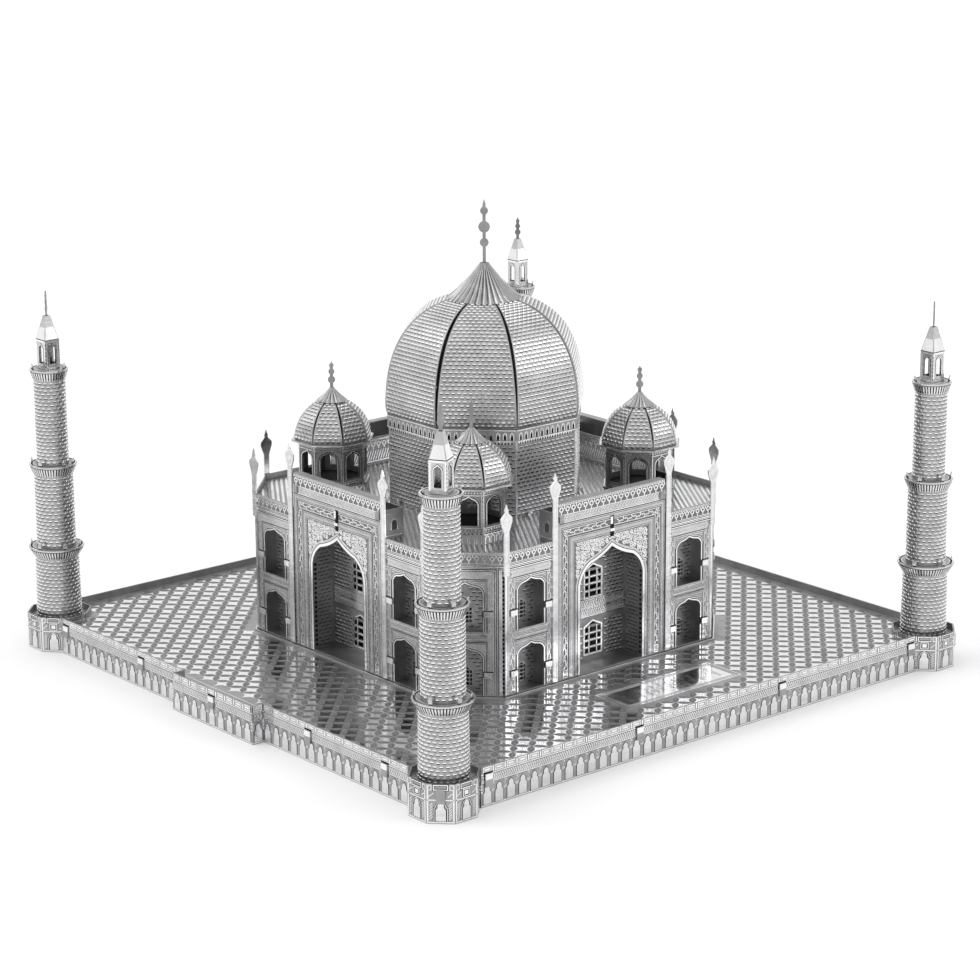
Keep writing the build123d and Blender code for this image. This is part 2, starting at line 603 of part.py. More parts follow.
def make_building():
    """Floor and roof plates, eight walls, the niches behind them, and the pinnacles."""
    floor = slab(wall_octagon(-FLOOR_MARGIN), DECK_TOP, FLOOR_TOP)
    for cutter in facade_slots(DECK_TOP - 1, FLOOR_TOP + 1):
        floor -= cutter
    write("building_floor_plate", floor)
    roof = slab(wall_octagon(SHEET + GAP), ROOF_TOP - SHEET, ROOF_TOP)
    for turn in SIDES.values():
        for across in ROOF_TONGUES:
            roof += turned(roof_tongue(across, FACADE_PLANE), turn)
        roof += turned(roof_tongue(0, CHAMFER_PLANE), turn + 45)
    below, above = ROOF_TOP - 2 * SHEET, ROOF_TOP + SHEET
    for cutter in foot_slots(DRUM_APOTHEM, below, above):
        roof -= cutter
    for x, y in CORNERS.values():
        for cutter in foot_slots(BASE_APOTHEM, below, above):
            roof -= Pos(x * CHHATRI_AXIS, y * CHHATRI_AXIS) * cutter
    write("building_roof_plate", roof)

    wall, corner = facade(), chamfer_wall()
    for name, turn in SIDES.items():
        write(f"facade_{name}", turned(wall, turn))
    for name, (x, y) in CORNERS.items():
        write(f"corner_wall_{name}", turned(corner, outward_turn(x, y)))

    niche, bay, corner_bay, backing = iwan_niche(), niche_lining(FACADE_PLANE), \
        niche_lining(CHAMFER_PLANE), portal_return()
    turns = list(SIDES.values())
    write("portal_niches", [turned(niche, turn) for turn in turns])
    write("portal_returns", [turned(backing, turn) for turn in turns])
    linings = []
    pinnacles = []
    for turn in turns:
        for side in (-1, 1):
            linings.append(turned(Pos(side * WINDOW_OFFSET, 0) * bay, turn))
            for kind in (PORTAL_PINNACLE, CORNER_PINNACLE):
                place = dict(kind, offset=side * kind["offset"])
                pinnacles.append(turned(pinnacle(**place), turn))
        linings.append(turned(corner_bay, turn + 45))
    write("window_linings", linings)
    write("pinnacles", pinnacles)


# ---------------------------------------------------------------- chhatris and main dome
def kiosk():
    """Octagonal wall with an arch in each of its eight sides."""
    walls = octagon_tube(KIOSK_APOTHEM, CHHATRI_BASE_TOP + GAP, KIOSK_TOP)
    for turn in range(0, 180, 45):
        walls -= turned(arch_cutter(KIOSK_ARCH, 0, 0, 2 * KIOSK_APOTHEM), turn)
    for tab in foot_tabs(KIOSK_APOTHEM, CHHATRI_BASE_TOP + GAP, CHHATRI_BASE_TOP - SHEET):
        walls += tab
    return walls


def chhatri_base():
    """Octagonal tray, open below, that lifts a kiosk off the roof."""
    top = CHHATRI_BASE_TOP
    tray = octagon_tube(BASE_APOTHEM, ROOF_TOP + GAP, top - SHEET)
    tray += slab(octagon(BASE_APOTHEM + SHEET), top - SHEET, top)
    for cutter in foot_slots(KIOSK_APOTHEM, top - 2 * SHEET, top + SHEET):
        tray -= cutter
    for tab in foot_tabs(BASE_APOTHEM, ROOF_TOP + GAP, ROOF_TOP - SHEET):
        tray += tab
    return tray


def make_chhatris():
    """Base, kiosk, eaves, petals, cap and finial of the four chhatris."""
    groups = {"chhatri_bases": [], "chhatri_eaves": [], "chhatri_caps": [], "chhatri_finials": []}
    eave = slab(octagon(EAVE_APOTHEM), KIOSK_TOP + GAP, KIOSK_TOP + GAP + SHEET)
    petals = dome_petals(SMALL_DOME, seam=0.2)
    for name, (x, y) in CORNERS.items():
        place = Pos(x * CHHATRI_AXIS, y * CHHATRI_AXIS)
        write(f"chhatri_{name}_kiosk", place * kiosk())
        write(f"chhatri_{name}_dome", [place * petal for petal in petals])
        groups["chhatri_bases"].append(place * chhatri_base())
        groups["chhatri_eaves"].append(place * eave)
        groups["chhatri_caps"].append(place * cone_cap(SMALL_CAP))
        groups["chhatri_finials"].append(place * turned(flat_finial(**CHHATRI_FINIAL), 45))
    for name, solids in groups.items():
        write(name, solids)


def make_dome():
    """Drum, band, petals, cap and finial over the middle of the roof."""
    drum = octagon_tube(DRUM_APOTHEM, ROOF_TOP, DRUM_TOP)
    for tab in foot_tabs(DRUM_APOTHEM, ROOF_TOP, ROOF_TOP - SHEET):
        drum += tab
    write("dome_drum", drum)
    write("dome_band", octagon_tube(DRUM_APOTHEM + GAP + SHEET, BAND_BOTTOM, DRUM_TOP))
    write("dome_petals", dome_petals(DOME, seam=0.4))
    write("dome_cap", cone_cap(CAP))
    write("dome_finial", turned(flat_finial(**MAIN_FINIAL), 45))


make_plinth()
make_minarets()
make_building()
make_chhatris()
make_dome()
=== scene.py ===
"""Looks of a desk model of a domed mausoleum, folded from etched and polished steel sheet.

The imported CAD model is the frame. Most of its sheets are shown as they are, and carry raised
polished ornament as pieces of their own. Rolled and pressed sheets are replaced by finer ones.
Lengths are in millimetres up to the moment a mesh is made. Turns are in degrees about the
vertical, and a turn of 0 faces the front, which is -Y. Ornament is drawn on mapped faces, where
u runs to the right or around, v runs up, and h runs out of the face.
"""
import math
import random
from bisect import bisect_right

import bpy
from mathutils import Matrix, Vector
from mathutils.geometry import tessellate_polygon


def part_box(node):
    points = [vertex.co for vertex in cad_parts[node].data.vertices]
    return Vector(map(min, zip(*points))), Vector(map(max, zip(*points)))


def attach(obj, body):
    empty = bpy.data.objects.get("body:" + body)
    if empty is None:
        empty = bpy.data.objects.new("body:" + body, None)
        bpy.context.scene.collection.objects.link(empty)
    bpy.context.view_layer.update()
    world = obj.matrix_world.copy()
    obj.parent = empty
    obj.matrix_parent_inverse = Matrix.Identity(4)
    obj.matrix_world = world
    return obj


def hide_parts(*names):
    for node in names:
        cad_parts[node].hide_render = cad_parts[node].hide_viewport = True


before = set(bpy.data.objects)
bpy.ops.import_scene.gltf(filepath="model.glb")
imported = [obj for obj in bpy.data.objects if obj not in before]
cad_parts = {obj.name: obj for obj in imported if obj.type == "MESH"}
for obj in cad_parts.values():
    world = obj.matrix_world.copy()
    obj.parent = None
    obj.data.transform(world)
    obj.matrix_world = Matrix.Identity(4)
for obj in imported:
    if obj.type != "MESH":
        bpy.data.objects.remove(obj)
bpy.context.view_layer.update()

MM = 0.001
SHEET = 0.3                  # thickness of the steel
RAISE = 0.06                 # height of polished ornament above the etched field
SINK = 0.02                  # depth to which ornament reaches into its sheet
FILM = 0.02                  # height of dark patches of painted shade that stand for slots and grooves
THIN = 0.015                 # height of the grooves of painted shade beside raised lines
FIELD = 0.012                # height of an etched field behind ornament
PROUD = 0.35                 # height of a folded tab above the sheet it lies on

SIDES = {"front": 0, "right": 90, "back": 180, "left": 270}
CORNERS = {"front_right": 45, "back_right": 135, "back_left": 225, "front_left": 315}
BOTH = (-1, 1)
TAN_EIGHTH = math.tan(math.radians(22.5))
COS_EIGHTH = math.cos(math.radians(22.5))

random.seed(7)


# ---------------------------------------------------------------- places read from the frame
def span(node):
    """Lowest and highest corner of a CAD node, in millimetres."""
    low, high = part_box(node)
    return low / MM, high / MM


DECK_TOP = span("deck_plate")[1].z
SKIRT_END, SKIRT_PLANE, _ = span("skirt_back")[1]
BLOCK_FACE = -span("skirt_front")[0].y
TURRET_LOW, TURRET_HIGH = span("turret_front_right")
TURRET_APOTHEM = (TURRET_HIGH.x - TURRET_LOW.x) / 2
MINARET_AXIS = (TURRET_HIGH.x + TURRET_LOW.x) / 2
FACADE_PLANE = -span("facade_front")[0].y
FACADE_HALF = span("facade_front")[1].x
FLOOR_FACE, _, FLOOR_TOP = span("building_floor_plate")[1]
ROOF_TOP = span("building_roof_plate")[1].z
CHAMFER_PLANE = (FACADE_PLANE + FACADE_HALF) / math.sqrt(2)
CHAMFER_HALF = (FACADE_PLANE - FACADE_HALF) / math.sqrt(2)
DRUM_APOTHEM = span("dome_drum")[1].x
BAND_LOW, BAND_HIGH = span("dome_band")
KIOSK_LOW, KIOSK_HIGH = span("chhatri_front_right_kiosk")
CHHATRI_AXIS = (KIOSK_HIGH.x + KIOSK_LOW.x) / 2
KIOSK_APOTHEM = KIOSK_HIGH.x - CHHATRI_AXIS
KIOSK_TOP = KIOSK_HIGH.z
EAVE_APOTHEM = span("chhatri_eaves")[1].x - CHHATRI_AXIS
BASE_TRAY = span("chhatri_bases")[1].x - CHHATRI_AXIS
BASE_TOP = span("chhatri_bases")[1].z
BASE_APOTHEM = BASE_TRAY - SHEET

# ---------------------------------------------------------------- shapes shared with the sheets
BLOCK_HALF = 14.3            # entrance block of the plinth
IWAN = dict(width=17.7, sill=7.35, spring=26.6, apex=33.8)
LOW_WINDOW = dict(width=7.0, sill=7.35, spring=15.4, apex=17.4)
HIGH_WINDOW = dict(width=7.0, sill=20.9, spring=29.4, apex=31.3)
KIOSK_ARCH = dict(width=3.5, sill=40.9, spring=45.3, apex=46.9)
LANTERN_ARCH = dict(width=1.5, sill=64.7, spring=67.9, apex=68.9)
LANTERN_HALF = 1.8
LANTERN_TOP = 70.1
LANTERN_TURNS = {"front_right": 30, "back_right": 0, "back_left": 0, "front_left": 0}
WINDOW_OFFSET = 22.5
EAR_OFFSET = 4.7             # tabs of a window lining, from the middle of the window
EARS = (12.3, 25.4)          # heights of the tops of those tabs
PORTAL_HALF = 15.2
NICHE_BACK = 34.85           # distance of the back of a portal niche from the middle
BAY_DEPTH = 3.35             # from a wall's face to the back of the lining behind it
DOME = dict(radius=22.6, centre=58.0, height=23.2, bottom=56.4, top_radius=6.9,
            power=2.3, round=2.6, tuck=0.02)
SMALL_DOME = dict(radius=8.8, centre=47.6, height=10.3, bottom=49.05, top_radius=2.8,
                  power=2.414, round=1.732, tuck=0.04)
GALLERY_DROP = 2.3           # height of a gallery's collar and ring together


# ---------------------------------------------------------------- surfaces that ornament lies on
def heading(turn):
    """Level unit vector that a turn faces."""
    angle = math.radians(turn)
    return Vector((math.sin(angle), -math.cos(angle), 0))


def wall(turn, distance, middle=(0.0, 0.0)):
    """Flat upright face."""
    out, right = heading(turn), heading(turn + 90)
    origin = Vector((*middle, 0)) + out * distance
    return lambda u, v, h: origin + right * u + out * h + Vector((0, 0, v))


def level(height, middle=(0.0, 0.0)):
    """Level face: u is X, v is Y, and h is up."""
    return lambda u, v, h: Vector((middle[0] + u, middle[1] + v, height + h))


def tube(middle, radius_at, mean_radius):
    """Upright round face: u is length around it at the mean radius."""
    def place(u, v, h):
        spot = heading(math.degrees(u / mean_radius)) * (radius_at(v) + h)
        return Vector((middle[0] + spot.x, middle[1] + spot.y, v))
    return place


def dome_radius(dome, height):
    """Corner radius of a dome at a height."""
    rise = max(0.0, (height - dome["centre"]) / dome["height"])
    radius = dome["radius"] * (1 - rise ** dome["power"]) ** (1 / dome["round"])
    tuck = max(0.0, 1 - (height - dome["bottom"]) / (0.1 * dome["height"]))
    return radius * (1 - dome["tuck"] * tuck ** 2)


class Outline:
    """Outline of a dome's flat, measured along its length from the foot."""
    STEPS = 160

    def __init__(self, dome):
        share = 1 - (dome["top_radius"] / dome["radius"]) ** dome["round"]
        climb = dome["centre"] + dome["height"] * share ** (1 / dome["power"]) - dome["bottom"]
        self.lengths, self.spots = [], []
        for step in range(self.STEPS + 1):
            height = dome["bottom"] + climb * math.sin(math.pi / 2 * step / self.STEPS)
            spot = (COS_EIGHTH * dome_radius(dome, height), height)
            self.lengths.append(self.lengths[-1] + math.dist(spot, self.spots[-1]) if step else 0.0)
            self.spots.append(spot)
        self.length = self.lengths[-1]

    def at(self, length):
        """Distance from the axis, height and lean in radians at a length from the foot."""
        after = min(max(bisect_right(self.lengths, length), 1), self.STEPS)
        start, end = self.lengths[after - 1:after + 1]
        (low_across, low), (high_across, high) = self.spots[after - 1:after + 1]
        share = (length - start) / (end - start)
        lean = math.atan2(low_across - high_across, high - low)
        return low_across + share * (high_across - low_across), low + share * (high - low), lean

    def half(self, length):
        """Half the width of the flat at a length from the foot."""
        return self.at(length)[0] * TAN_EIGHTH


def petal(turn, outline, middle, crown):
    """One flat of a dome, bulging by its crown: u across it and v along its outline."""
    out, right, reach = heading(turn), heading(turn + 90), outline.half(0)

    def place(u, v, h):
        across, height, lean = outline.at(v)
        lift = h + crown * (1 - (u / reach) ** 2)
        spot = out * (across + lift * math.cos(lean)) + right * u
        return Vector((middle[0] + spot.x, middle[1] + spot.y, height + lift * math.sin(lean)))
    return place


# ---------------------------------------------------------------- materials
def feed(tree, made, **values):
    """Sets properties and inputs of a shader node; an input also takes another node's output."""
    for name, value in values.items():
        if hasattr(made, name):
            setattr(made, name, value)
        elif isinstance(value, bpy.types.NodeSocket):
            tree.links.new(value, made.inputs[name.replace("_", " ")])
        else:
            made.inputs[name.replace("_", " ")].default_value = value
    return made.outputs


def node(tree, kind, **values):
    """Outputs of a new shader node."""
    return feed(tree, tree.nodes.new("ShaderNode" + kind), **values)


def greys(tree, source, *stops, blue=1.0):
    """Colour ramp over an output; its stops are (place, grey)."""
    made = tree.nodes.new("ShaderNodeValToRGB")
    elements = made.color_ramp.elements
    for _ in stops[2:]:
        elements.new(0.5)
    for element, (position, grey) in zip(elements, stops):
        element.position = position
        element.color = (grey, grey, grey * blue, 1.0)
    return feed(tree, made, Fac=source)["Color"]


def material(name):
    """New material, with its node tree and its shader."""
    made = bpy.data.materials.new(name)
    made.use_nodes = True
    return made, made.node_tree, made.node_tree.nodes["Principled BSDF"]


def steel(name, tones, roughness, grain, depth, streaks=0.0):
    """Steel with cloudy tone, uneven gloss and a grain; tones and roughness are (low, high)."""
    made, tree, shader = material(name)
    coordinates = node(tree, "TexCoord")["Object"]
    place = node(tree, "Mapping", Vector=coordinates, Scale=(1.0, 1.0, 1.0 + streaks))["Vector"]
    cloud = node(tree, "TexNoise", Vector=place, Scale=260.0, Detail=5.0, Roughness=0.6)["Fac"]
    fine = node(tree, "TexNoise", Vector=place, Scale=grain, Detail=3.0, Roughness=0.55)["Fac"]
    feed(tree, shader, Metallic=1.0,
         Base_Color=greys(tree, cloud, (0.32, tones[0]), (0.68, tones[1]), blue=1.01),
         Roughness=node(tree, "MapRange", Value=fine, From_Min=0.3, From_Max=0.7,
                        To_Min=roughness[0], To_Max=roughness[1])["Result"],
         Normal=node(tree, "Bump", Height=fine, Strength=1.0, Distance=depth * MM)["Normal"])
    return made


POLISHED = steel("polished_steel", (0.68, 0.84), (0.14, 0.26), 900.0, 0.014, streaks=2.0)
MIRROR = steel("mirror_steel", (0.7, 0.84), (0.07, 0.15), 700.0, 0.008)
BRIGHT = steel("bright_steel", (0.84, 0.96), (0.12, 0.22), 900.0, 0.012)
BRICKED = steel("bricked_steel", (0.36, 0.47), (0.28, 0.44), 3800.0, 0.06)
# near-black steel for the painted shade under each raised brick of the tubes and domes
BRICK_SHADE = steel("brick_shade_steel", (0.07, 0.13), (0.4, 0.55), 3000.0, 0.04)
CAP_STEEL = steel("cap_steel", (0.36, 0.46), (0.2, 0.34), 1400.0, 0.02, streaks=1.0)
SATIN = steel("satin_steel", (0.47, 0.59), (0.2, 0.34), 1400.0, 0.02, streaks=1.0)
ETCHED = steel("etched_steel", (0.32, 0.43), (0.36, 0.5), 3800.0, 0.06)
# darker etched steel: the deep etch of the deck's lenses, the plaque and fields behind ornament, and painted shade
# on the kiosk walls
DEEP_ETCHED_AND_SHADE = steel("deep_etched_and_shade_steel", (0.2, 0.28), (0.44, 0.6), 4200.0, 0.06)
# darker steel: painted shade on the recessed portal niches and window linings; the finials take it too
LINING = steel("shaded_lining_steel", (0.24, 0.36), (0.34, 0.48), 3200.0, 0.05)
SHADOW = steel("slot_shadow", (0.015, 0.03), (0.6, 0.75), 2600.0, 0.03)


# ---------------------------------------------------------------- ranges and paths
def about(middle, half):
    """Range on both sides of a middle."""
    return middle - half, middle + half


def out_from(side, near, far):
    """Range between two distances from the middle, on side -1 or 1."""
    return sorted((side * near, side * far))


def polar(radius, angle, u=0.0, v=0.0):
    """Point at a distance from another; the angle is in radians anticlockwise from u."""
    return u + radius * math.cos(angle), v + radius * math.sin(angle)


def circle(u, v, radius, sides, start=0.0):
    """Points around a circle, anticlockwise."""
    return [polar(radius, math.radians(start) + 2 * math.pi * side / sides, u, v) for side in range(sides)]


def oblong(us, vs):
    """Corners of an oblong, anticlockwise."""
    return [(us[0], vs[0]), (us[1], vs[0]), (us[1], vs[1]), (us[0], vs[1])]


def beside(path, offset, closed=False):
    """Path moved to its left by an offset, with mitred corners."""
    moved = []
    for index, (u, v) in enumerate(path):
        before = path[index - 1] if closed or index else None
        after = path[(index + 1) % len(path)] if closed or index < len(path) - 1 else None
        normals = []
        for start, end in ((before, (u, v)), ((u, v), after)):
            if start and end:
                run, rise = end[0] - start[0], end[1] - start[1]
                length = math.hypot(run, rise) or 1.0
                normals.append((-rise / length, run / length))
        nu, nv = (sum(values) / len(normals) for values in zip(*normals))
        size = max(nu * nu + nv * nv, 0.3)
        moved.append((u + offset * nu / size, v + offset * nv / size))
    return moved


def sagitta_arc(start, end, bulge, steps):
    """Points of a shallow arc after its start; a positive bulge lies to the left of the way."""
    run, rise = end[0] - start[0], end[1] - start[1]
    points = []
    for share in (step / steps for step in range(1, steps + 1)):
        lift = 4 * bulge * share * (1 - share) / math.hypot(run, rise)
        points.append((start[0] + run * share - rise * lift, start[1] + rise * share + run * lift))
    return points


def arch_path(arch, grow=0.0, steps=6):
    """Outline of a pointed arch opening from its right foot round to its left one, grown outwards."""
    half = arch["width"] / 2
    spring, apex = (half, arch["spring"]), (0.0, arch["apex"])
    knee = (0.66 * half, spring[1] + 0.62 * (apex[1] - spring[1]))
    right = [(half, arch["sill"]), spring]
    right += sagitta_arc(spring, knee, -0.12 * math.dist(spring, knee), steps)
    right += sagitta_arc(knee, apex, 0.05 * math.dist(knee, apex), steps)
    return beside(right + [(-u, v) for u, v in right[-2::-1]], -grow)


def shifted(path, across, up=0.0):
    """Path moved across and up."""
    return [(u + across, v + up) for u, v in path]


def gate(half, top, bottom, across=0.0):
    """Path up, across and down, like a door frame."""
    return shifted([(half, bottom), (half, top), (-half, top), (-half, bottom)], across)


# ---------------------------------------------------------------- meshes
class Relief:
    """Faces of one piece, gathered as closed prisms on the mapped surface that it is placed on."""

    def __init__(self, place=None, finish=POLISHED, dark=SHADOW):
        self.place, self.finish, self.dark = place, finish, dark
        self.points, self.faces, self.finishes = [], [], []

    def paint(self, finish):
        """Gives the faces added since the last time a finish, or else the usual one."""
        self.finishes += [finish or self.finish] * (len(self.faces) - len(self.finishes))

    def prism(self, outline, height=RAISE, slope=0.0, base=-SINK, concave=False, finish=None):
        """Prism on an outline that runs anticlockwise seen from outside; slope draws its top in."""
        count, first = len(outline), len(self.points)
        us, vs = zip(*outline)
        middle_u, middle_v = (min(us) + max(us)) / 2, (min(vs) + max(vs)) / 2
        scale_u, scale_v = 1 - slope / (max(us) - middle_u), 1 - slope / (max(vs) - middle_v)
        self.points += [self.place(u, v, base) for u, v in outline]
        self.points += [self.place(middle_u + (u - middle_u) * scale_u,
                                   middle_v + (v - middle_v) * scale_v, height)
                        for u, v in outline]
        for index in range(count):
            here, after = first + index, first + (index + 1) % count
            self.faces.append((here, after, count + after, count + here))
        tops = [range(count)]
        if concave:
            flat = [Vector((u, v, 0)) for u, v in outline]
            tops = [(a, b, c) if (flat[b] - flat[a]).cross(flat[c] - flat[a]).z >= 0 else (a, c, b)
                    for a, b, c in tessellate_polygon([flat])]
        for top in tops:
            self.faces += [[first + count + corner for corner in top],
                           [first + corner for corner in reversed(top)]]
        self.paint(finish)

    def bar(self, us, vs, height=RAISE, slope=0.0, base=-SINK, finish=None):
        """Prism on an oblong."""
        self.prism(oblong(us, vs), height, slope, base, finish=finish)

    def ribbon(self, path, width, closed=False, height=RAISE, base=-SINK, finish=None):
        """Raised line of even width along a path."""
        first, last = len(self.points), len(path) - 1
        for left, right in zip(beside(path, width / 2, closed), beside(path, -width / 2, closed)):
            self.points += [self.place(*spot, h) for spot, h in
                            ((left, base), (right, base), (right, height), (left, height))]
        for index in range(last + closed):
            here, there = first + 4 * index, first + 4 * ((index + 1) % (last + 1))
            self.faces += [(here + b, there + b, there + a, here + a) for a, b in ((3, 2), (0, 3), (2, 1), (1, 0))]
        if not closed:
            self.faces += [[first + k for k in range(4)], [first + 4 * last + k for k in (3, 2, 1, 0)]]
        self.paint(finish)

    def outlined(self, path, width, closed=False, shade=0.13, finish=None):
        """Raised line with a groove of painted shade along each side."""
        self.ribbon(path, width, closed, finish=finish)
        for side in BOTH:
            self.ribbon(beside(path, side * (width + shade) / 2, closed), shade, closed, THIN, finish=self.dark)

    def grooved(self, us, v, width, shade=0.12):
        """Raised level line with a groove of painted shade below it."""
        self.bar(us, about(v, width / 2))
        self.bar(us, (v - width / 2 - shade, v - width / 2), THIN, finish=self.dark)

    def dot(self, u, v, radius, sides=6):
        """Raised round dot."""
        self.prism(circle(u, v, radius, sides))

    def loft(self, rows, closed=True, finish=None):
        """Skin over closed rows of points; the run of rows closes on itself, or else ends in two lids."""
        first, width, count = len(self.points), len(rows[0]), len(rows)
        for row in rows:
            self.points += row
        for row in range(count if closed else count - 1):
            here, there = first + row * width, first + (row + 1) % count * width
            for k in range(width):
                after = (k + 1) % width
                self.faces.append((here + k, here + after, there + after, there + k))
        if not closed:
            self.faces += [[first + k for k in reversed(range(width))],
                           [first + (count - 1) * width + k for k in range(width)]]
        self.paint(finish)


def piece(name, art, replaces=(), smooth_angle=None):
    """Object from a relief, riding on the model."""
    mesh = bpy.data.meshes.new(name)
    mesh.from_pydata([point * MM for point in art.points], [], art.faces)
    finishes = list(dict.fromkeys(art.finishes))
    for finish in finishes:
        mesh.materials.append(finish)
    mesh.polygons.foreach_set("material_index", [finishes.index(finish) for finish in art.finishes])
    if smooth_angle is not None:
        mesh.shade_smooth()
        mesh.set_sharp_from_angle(angle=math.radians(smooth_angle))
    made = bpy.data.objects.new(name, mesh)
    bpy.context.scene.collection.objects.link(made)
    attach(made, "root")
    if replaces:
        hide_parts(*replaces)


# ---------------------------------------------------------------- ornament shared by many sheets
def brick(art, us, v, rise, height=0.13, slope=0.09, drop=0.17, trim=0.05, finish=None):
    """Raised dash with a line of painted shade below it."""
    art.bar(us, about(v, rise), height, slope, finish=finish)
    art.bar((us[0] + 0.05, us[1] - trim), (v - rise - drop, v - rise), FILM, finish=art.dark)


def bricks(art, half_at, low, high, pitch=(1.27, 0.84), dash=(0.9, 0.4)):
    """Rows of raised dashes on a flat face, each row half a brick out of step with the last."""
    rows = int((high - low) / pitch[1])
    for row in range(rows):
        v = low + (row + 0.5) * (high - low) / rows
        half = half_at(v)
        reach = int(half / pitch[0]) + 1
        for step in range(-reach, reach + 1):
            left, right = about((step + 0.5 * (row % 2)) * pitch[0], dash[0] / 2)
            left, right = max(left, -half), min(right, half)
            if right - left > 0.3:
                brick(art, (left, right), v, dash[1] / 2)


def round_bricks(art, mean_radius, low, high, pitch=(1.28, 0.78), half=0.45, rise=0.19):
    """Rows of raised dashes around a tube."""
    rows = int((high - low) / pitch[1])
    count = round(2 * math.pi * mean_radius / pitch[0])
    for row in range(rows):
        v = low + (row + 0.5) * (high - low) / rows
        for step in range(count):
            u = (step + 0.5 * (row % 2)) * 2 * math.pi * mean_radius / count
            art.prism([(u - half, v - rise), (u, v - rise), (u + half, v - rise),
                       (u + half, v + rise), (u, v + rise), (u - half, v + rise)], 0.13, 0.09)
            # line of painted shade under each dash
            art.bar(about(u, half - 0.05), (v - rise - 0.16, v - rise), 0.03, finish=art.dark)


def wall_bricks(art, us, vs, clear=lambda v: 0.0, pitch=(1.3, 0.82), dash=(0.92, 0.4), finish=None):
    """Rows of raised dashes over part of a wall, kept clear of its middle."""
    for row in range(int((vs[1] - vs[0]) / pitch[1])):
        v = vs[0] + (row + 0.5) * pitch[1]
        for step in range(int((us[1] - us[0]) / pitch[0]) + 1):
            u = us[0] + (step + 0.5 * (row % 2)) * pitch[0]
            if u + dash[0] < us[1] and not (u < clear(v) and u + dash[0] > -clear(v)):
                brick(art, (u, u + dash[0]), v, dash[1] / 2, 0.1, 0.07, 0.18, 0.0, finish)


def hatch(art, us, vs, pitch=0.42, width=0.15, lean=1.0):
    """Slanting strokes that fill a band; they lean right by the band's height times lean."""
    along_u = us[1] - us[0] >= vs[1] - vs[0]
    (start, end), (near, far) = (us, vs) if along_u else (vs, us)
    slant = (far - near) * lean
    run = end - start - abs(slant)
    count = int(run / pitch)
    for step in range(count):
        at = start + max(0.0, -slant) + (step + 0.5) * run / count
        path = [(at, near), (at + slant, far)]
        art.ribbon(path if along_u else [(v, u) for u, v in path], width)


def dots(art, us, v, pitch, radius):
    """Level row of dots."""
    count = max(2, round((us[1] - us[0]) / pitch) + 1)
    for step in range(count):
        art.dot(us[0] + (us[1] - us[0]) * step / (count - 1), v, radius)


def perforation(art, u, vs, size, pitch=0.95):
    """Dark slots in a row along a fold line."""
    for step in range(int((vs[1] - vs[0]) / pitch)):
        art.bar(about(u, size[0] / 2), about(vs[0] + (step + 0.5) * pitch, size[1] / 2), FILM, finish=art.dark)


def loops(art, us, centre, pitch=1.64, radius=0.46, width=0.26):
    """Row of small hanging loops under a line, each with a drop below and a stub beside it."""
    count = max(1, round((us[1] - us[0]) / pitch))
    step = (us[1] - us[0]) / count
    for index in range(count):
        u = us[0] + (index + 0.5) * step
        art.ribbon(circle(u, centre, radius, 12), width, closed=True)
        art.bar(about(u, 0.13), (centre - radius - 0.62, centre - radius - 0.05))
        art.bar(about(u + step / 2, 0.12), (centre + 0.1, centre + radius + 0.35))


def curl(art, u, v, radius, start, turn, width=0.2):
    """Spiral stroke that winds in from its rim; turn is +1 anticlockwise and -1 clockwise."""
    steps = 11
    art.ribbon([polar(radius * (1 - 0.78 * step / steps), start + turn * step / steps * 1.45 * 2 * math.pi, u, v)
                for step in range(steps + 1)], width)


def vine(art, start, end, half, pitch=1.25, width=0.2):
    """Waving stem with a curl in each bend and a leaf outside it, from one point to another."""
    length = math.dist(start, end)
    along = ((end[0] - start[0]) / length, (end[1] - start[1]) / length)
    across = (-along[1], along[0])
    bends = max(2, round(length / pitch))

    def spot(bend, aside):
        distance = length * bend / bends
        return [start[k] + along[k] * distance + across[k] * aside for k in (0, 1)]

    art.ribbon([spot(k / 8, 0.55 * half * math.cos(math.pi * k / 8)) for k in range(8 * bends + 1)], width)
    for bend in range(bends):
        side = 1 if bend % 2 else -1
        curl(art, *spot(bend + 1, side * 0.35 * half), 0.42 * half,
             math.atan2(across[1] * -side, across[0] * -side), side, width=0.16)
        art.dot(*spot(bend + 0.5, 0.72 * half * side), 0.17 * half + 0.06)


def rosette(art, u, v, radius):
    """Ring of six petals round a middle dot."""
    art.dot(u, v, 0.26 * radius, sides=8)
    for spot in circle(u, v, 0.66 * radius, 6):
        art.dot(*spot, 0.24 * radius)


def folded_tabs(art, spots, width=1.86, drop=1.24):
    """Bright folded ends of tabs; spots are their middles and tops."""
    for u, top in spots:
        art.bar(about(u, width / 2), (top - drop, top + 0.02), PROUD + 0.05, slope=0.06, base=PROUD - 0.1)


def octagon(radius):
    """Corners of an octagon with flats towards the sides."""
    return circle(0, 0, radius, 8, start=22.5)


# ---------------------------------------------------------------- plinth
CELL = 3.45                  # side of one square of the deck's lattice of circles
DECK_MARGIN = 0.35
NAMEPLATE = ((52.0, 62.0), (-14.3, 17.7))
SKIRT_PITCH = 3.0
SIDE_TABS = (-60.0, -20.3, 20.3, 60.0)
FRONT_TABS = (-59.7, -30.0, 29.6, 54.4)


def on_open_deck(u, v, margin):
    """Whether a point is on the part of the deck that carries the lattice."""
    aslant = (abs(u) + abs(v)) / math.sqrt(2)
    if max(abs(u), abs(v)) < FLOOR_FACE + margin and aslant < CHAMFER_PLANE + 0.7 + margin:
        return False
    if max(abs(abs(u) - MINARET_AXIS), abs(abs(v) - MINARET_AXIS)) < TURRET_APOTHEM:
        return False
    (u0, u1), (v0, v1) = NAMEPLATE
    return not (u0 - margin < u < u1 + margin and v0 - margin < v < v1 + margin)


def star(u, v, limit):
    """Four-pointed star left between four lenses, cut off square at the deck's edges."""
    points = []
    for quarter in range(4):
        middle = math.radians(45 + 90 * quarter)
        for step in range(6):
            spot = polar(CELL / math.sqrt(2), middle + math.radians(225 - 15 * step), *polar(CELL, middle))
            points.append([min(max(at + 0.94 * off, -limit), limit) for at, off in zip((u, v), spot)])
    return points


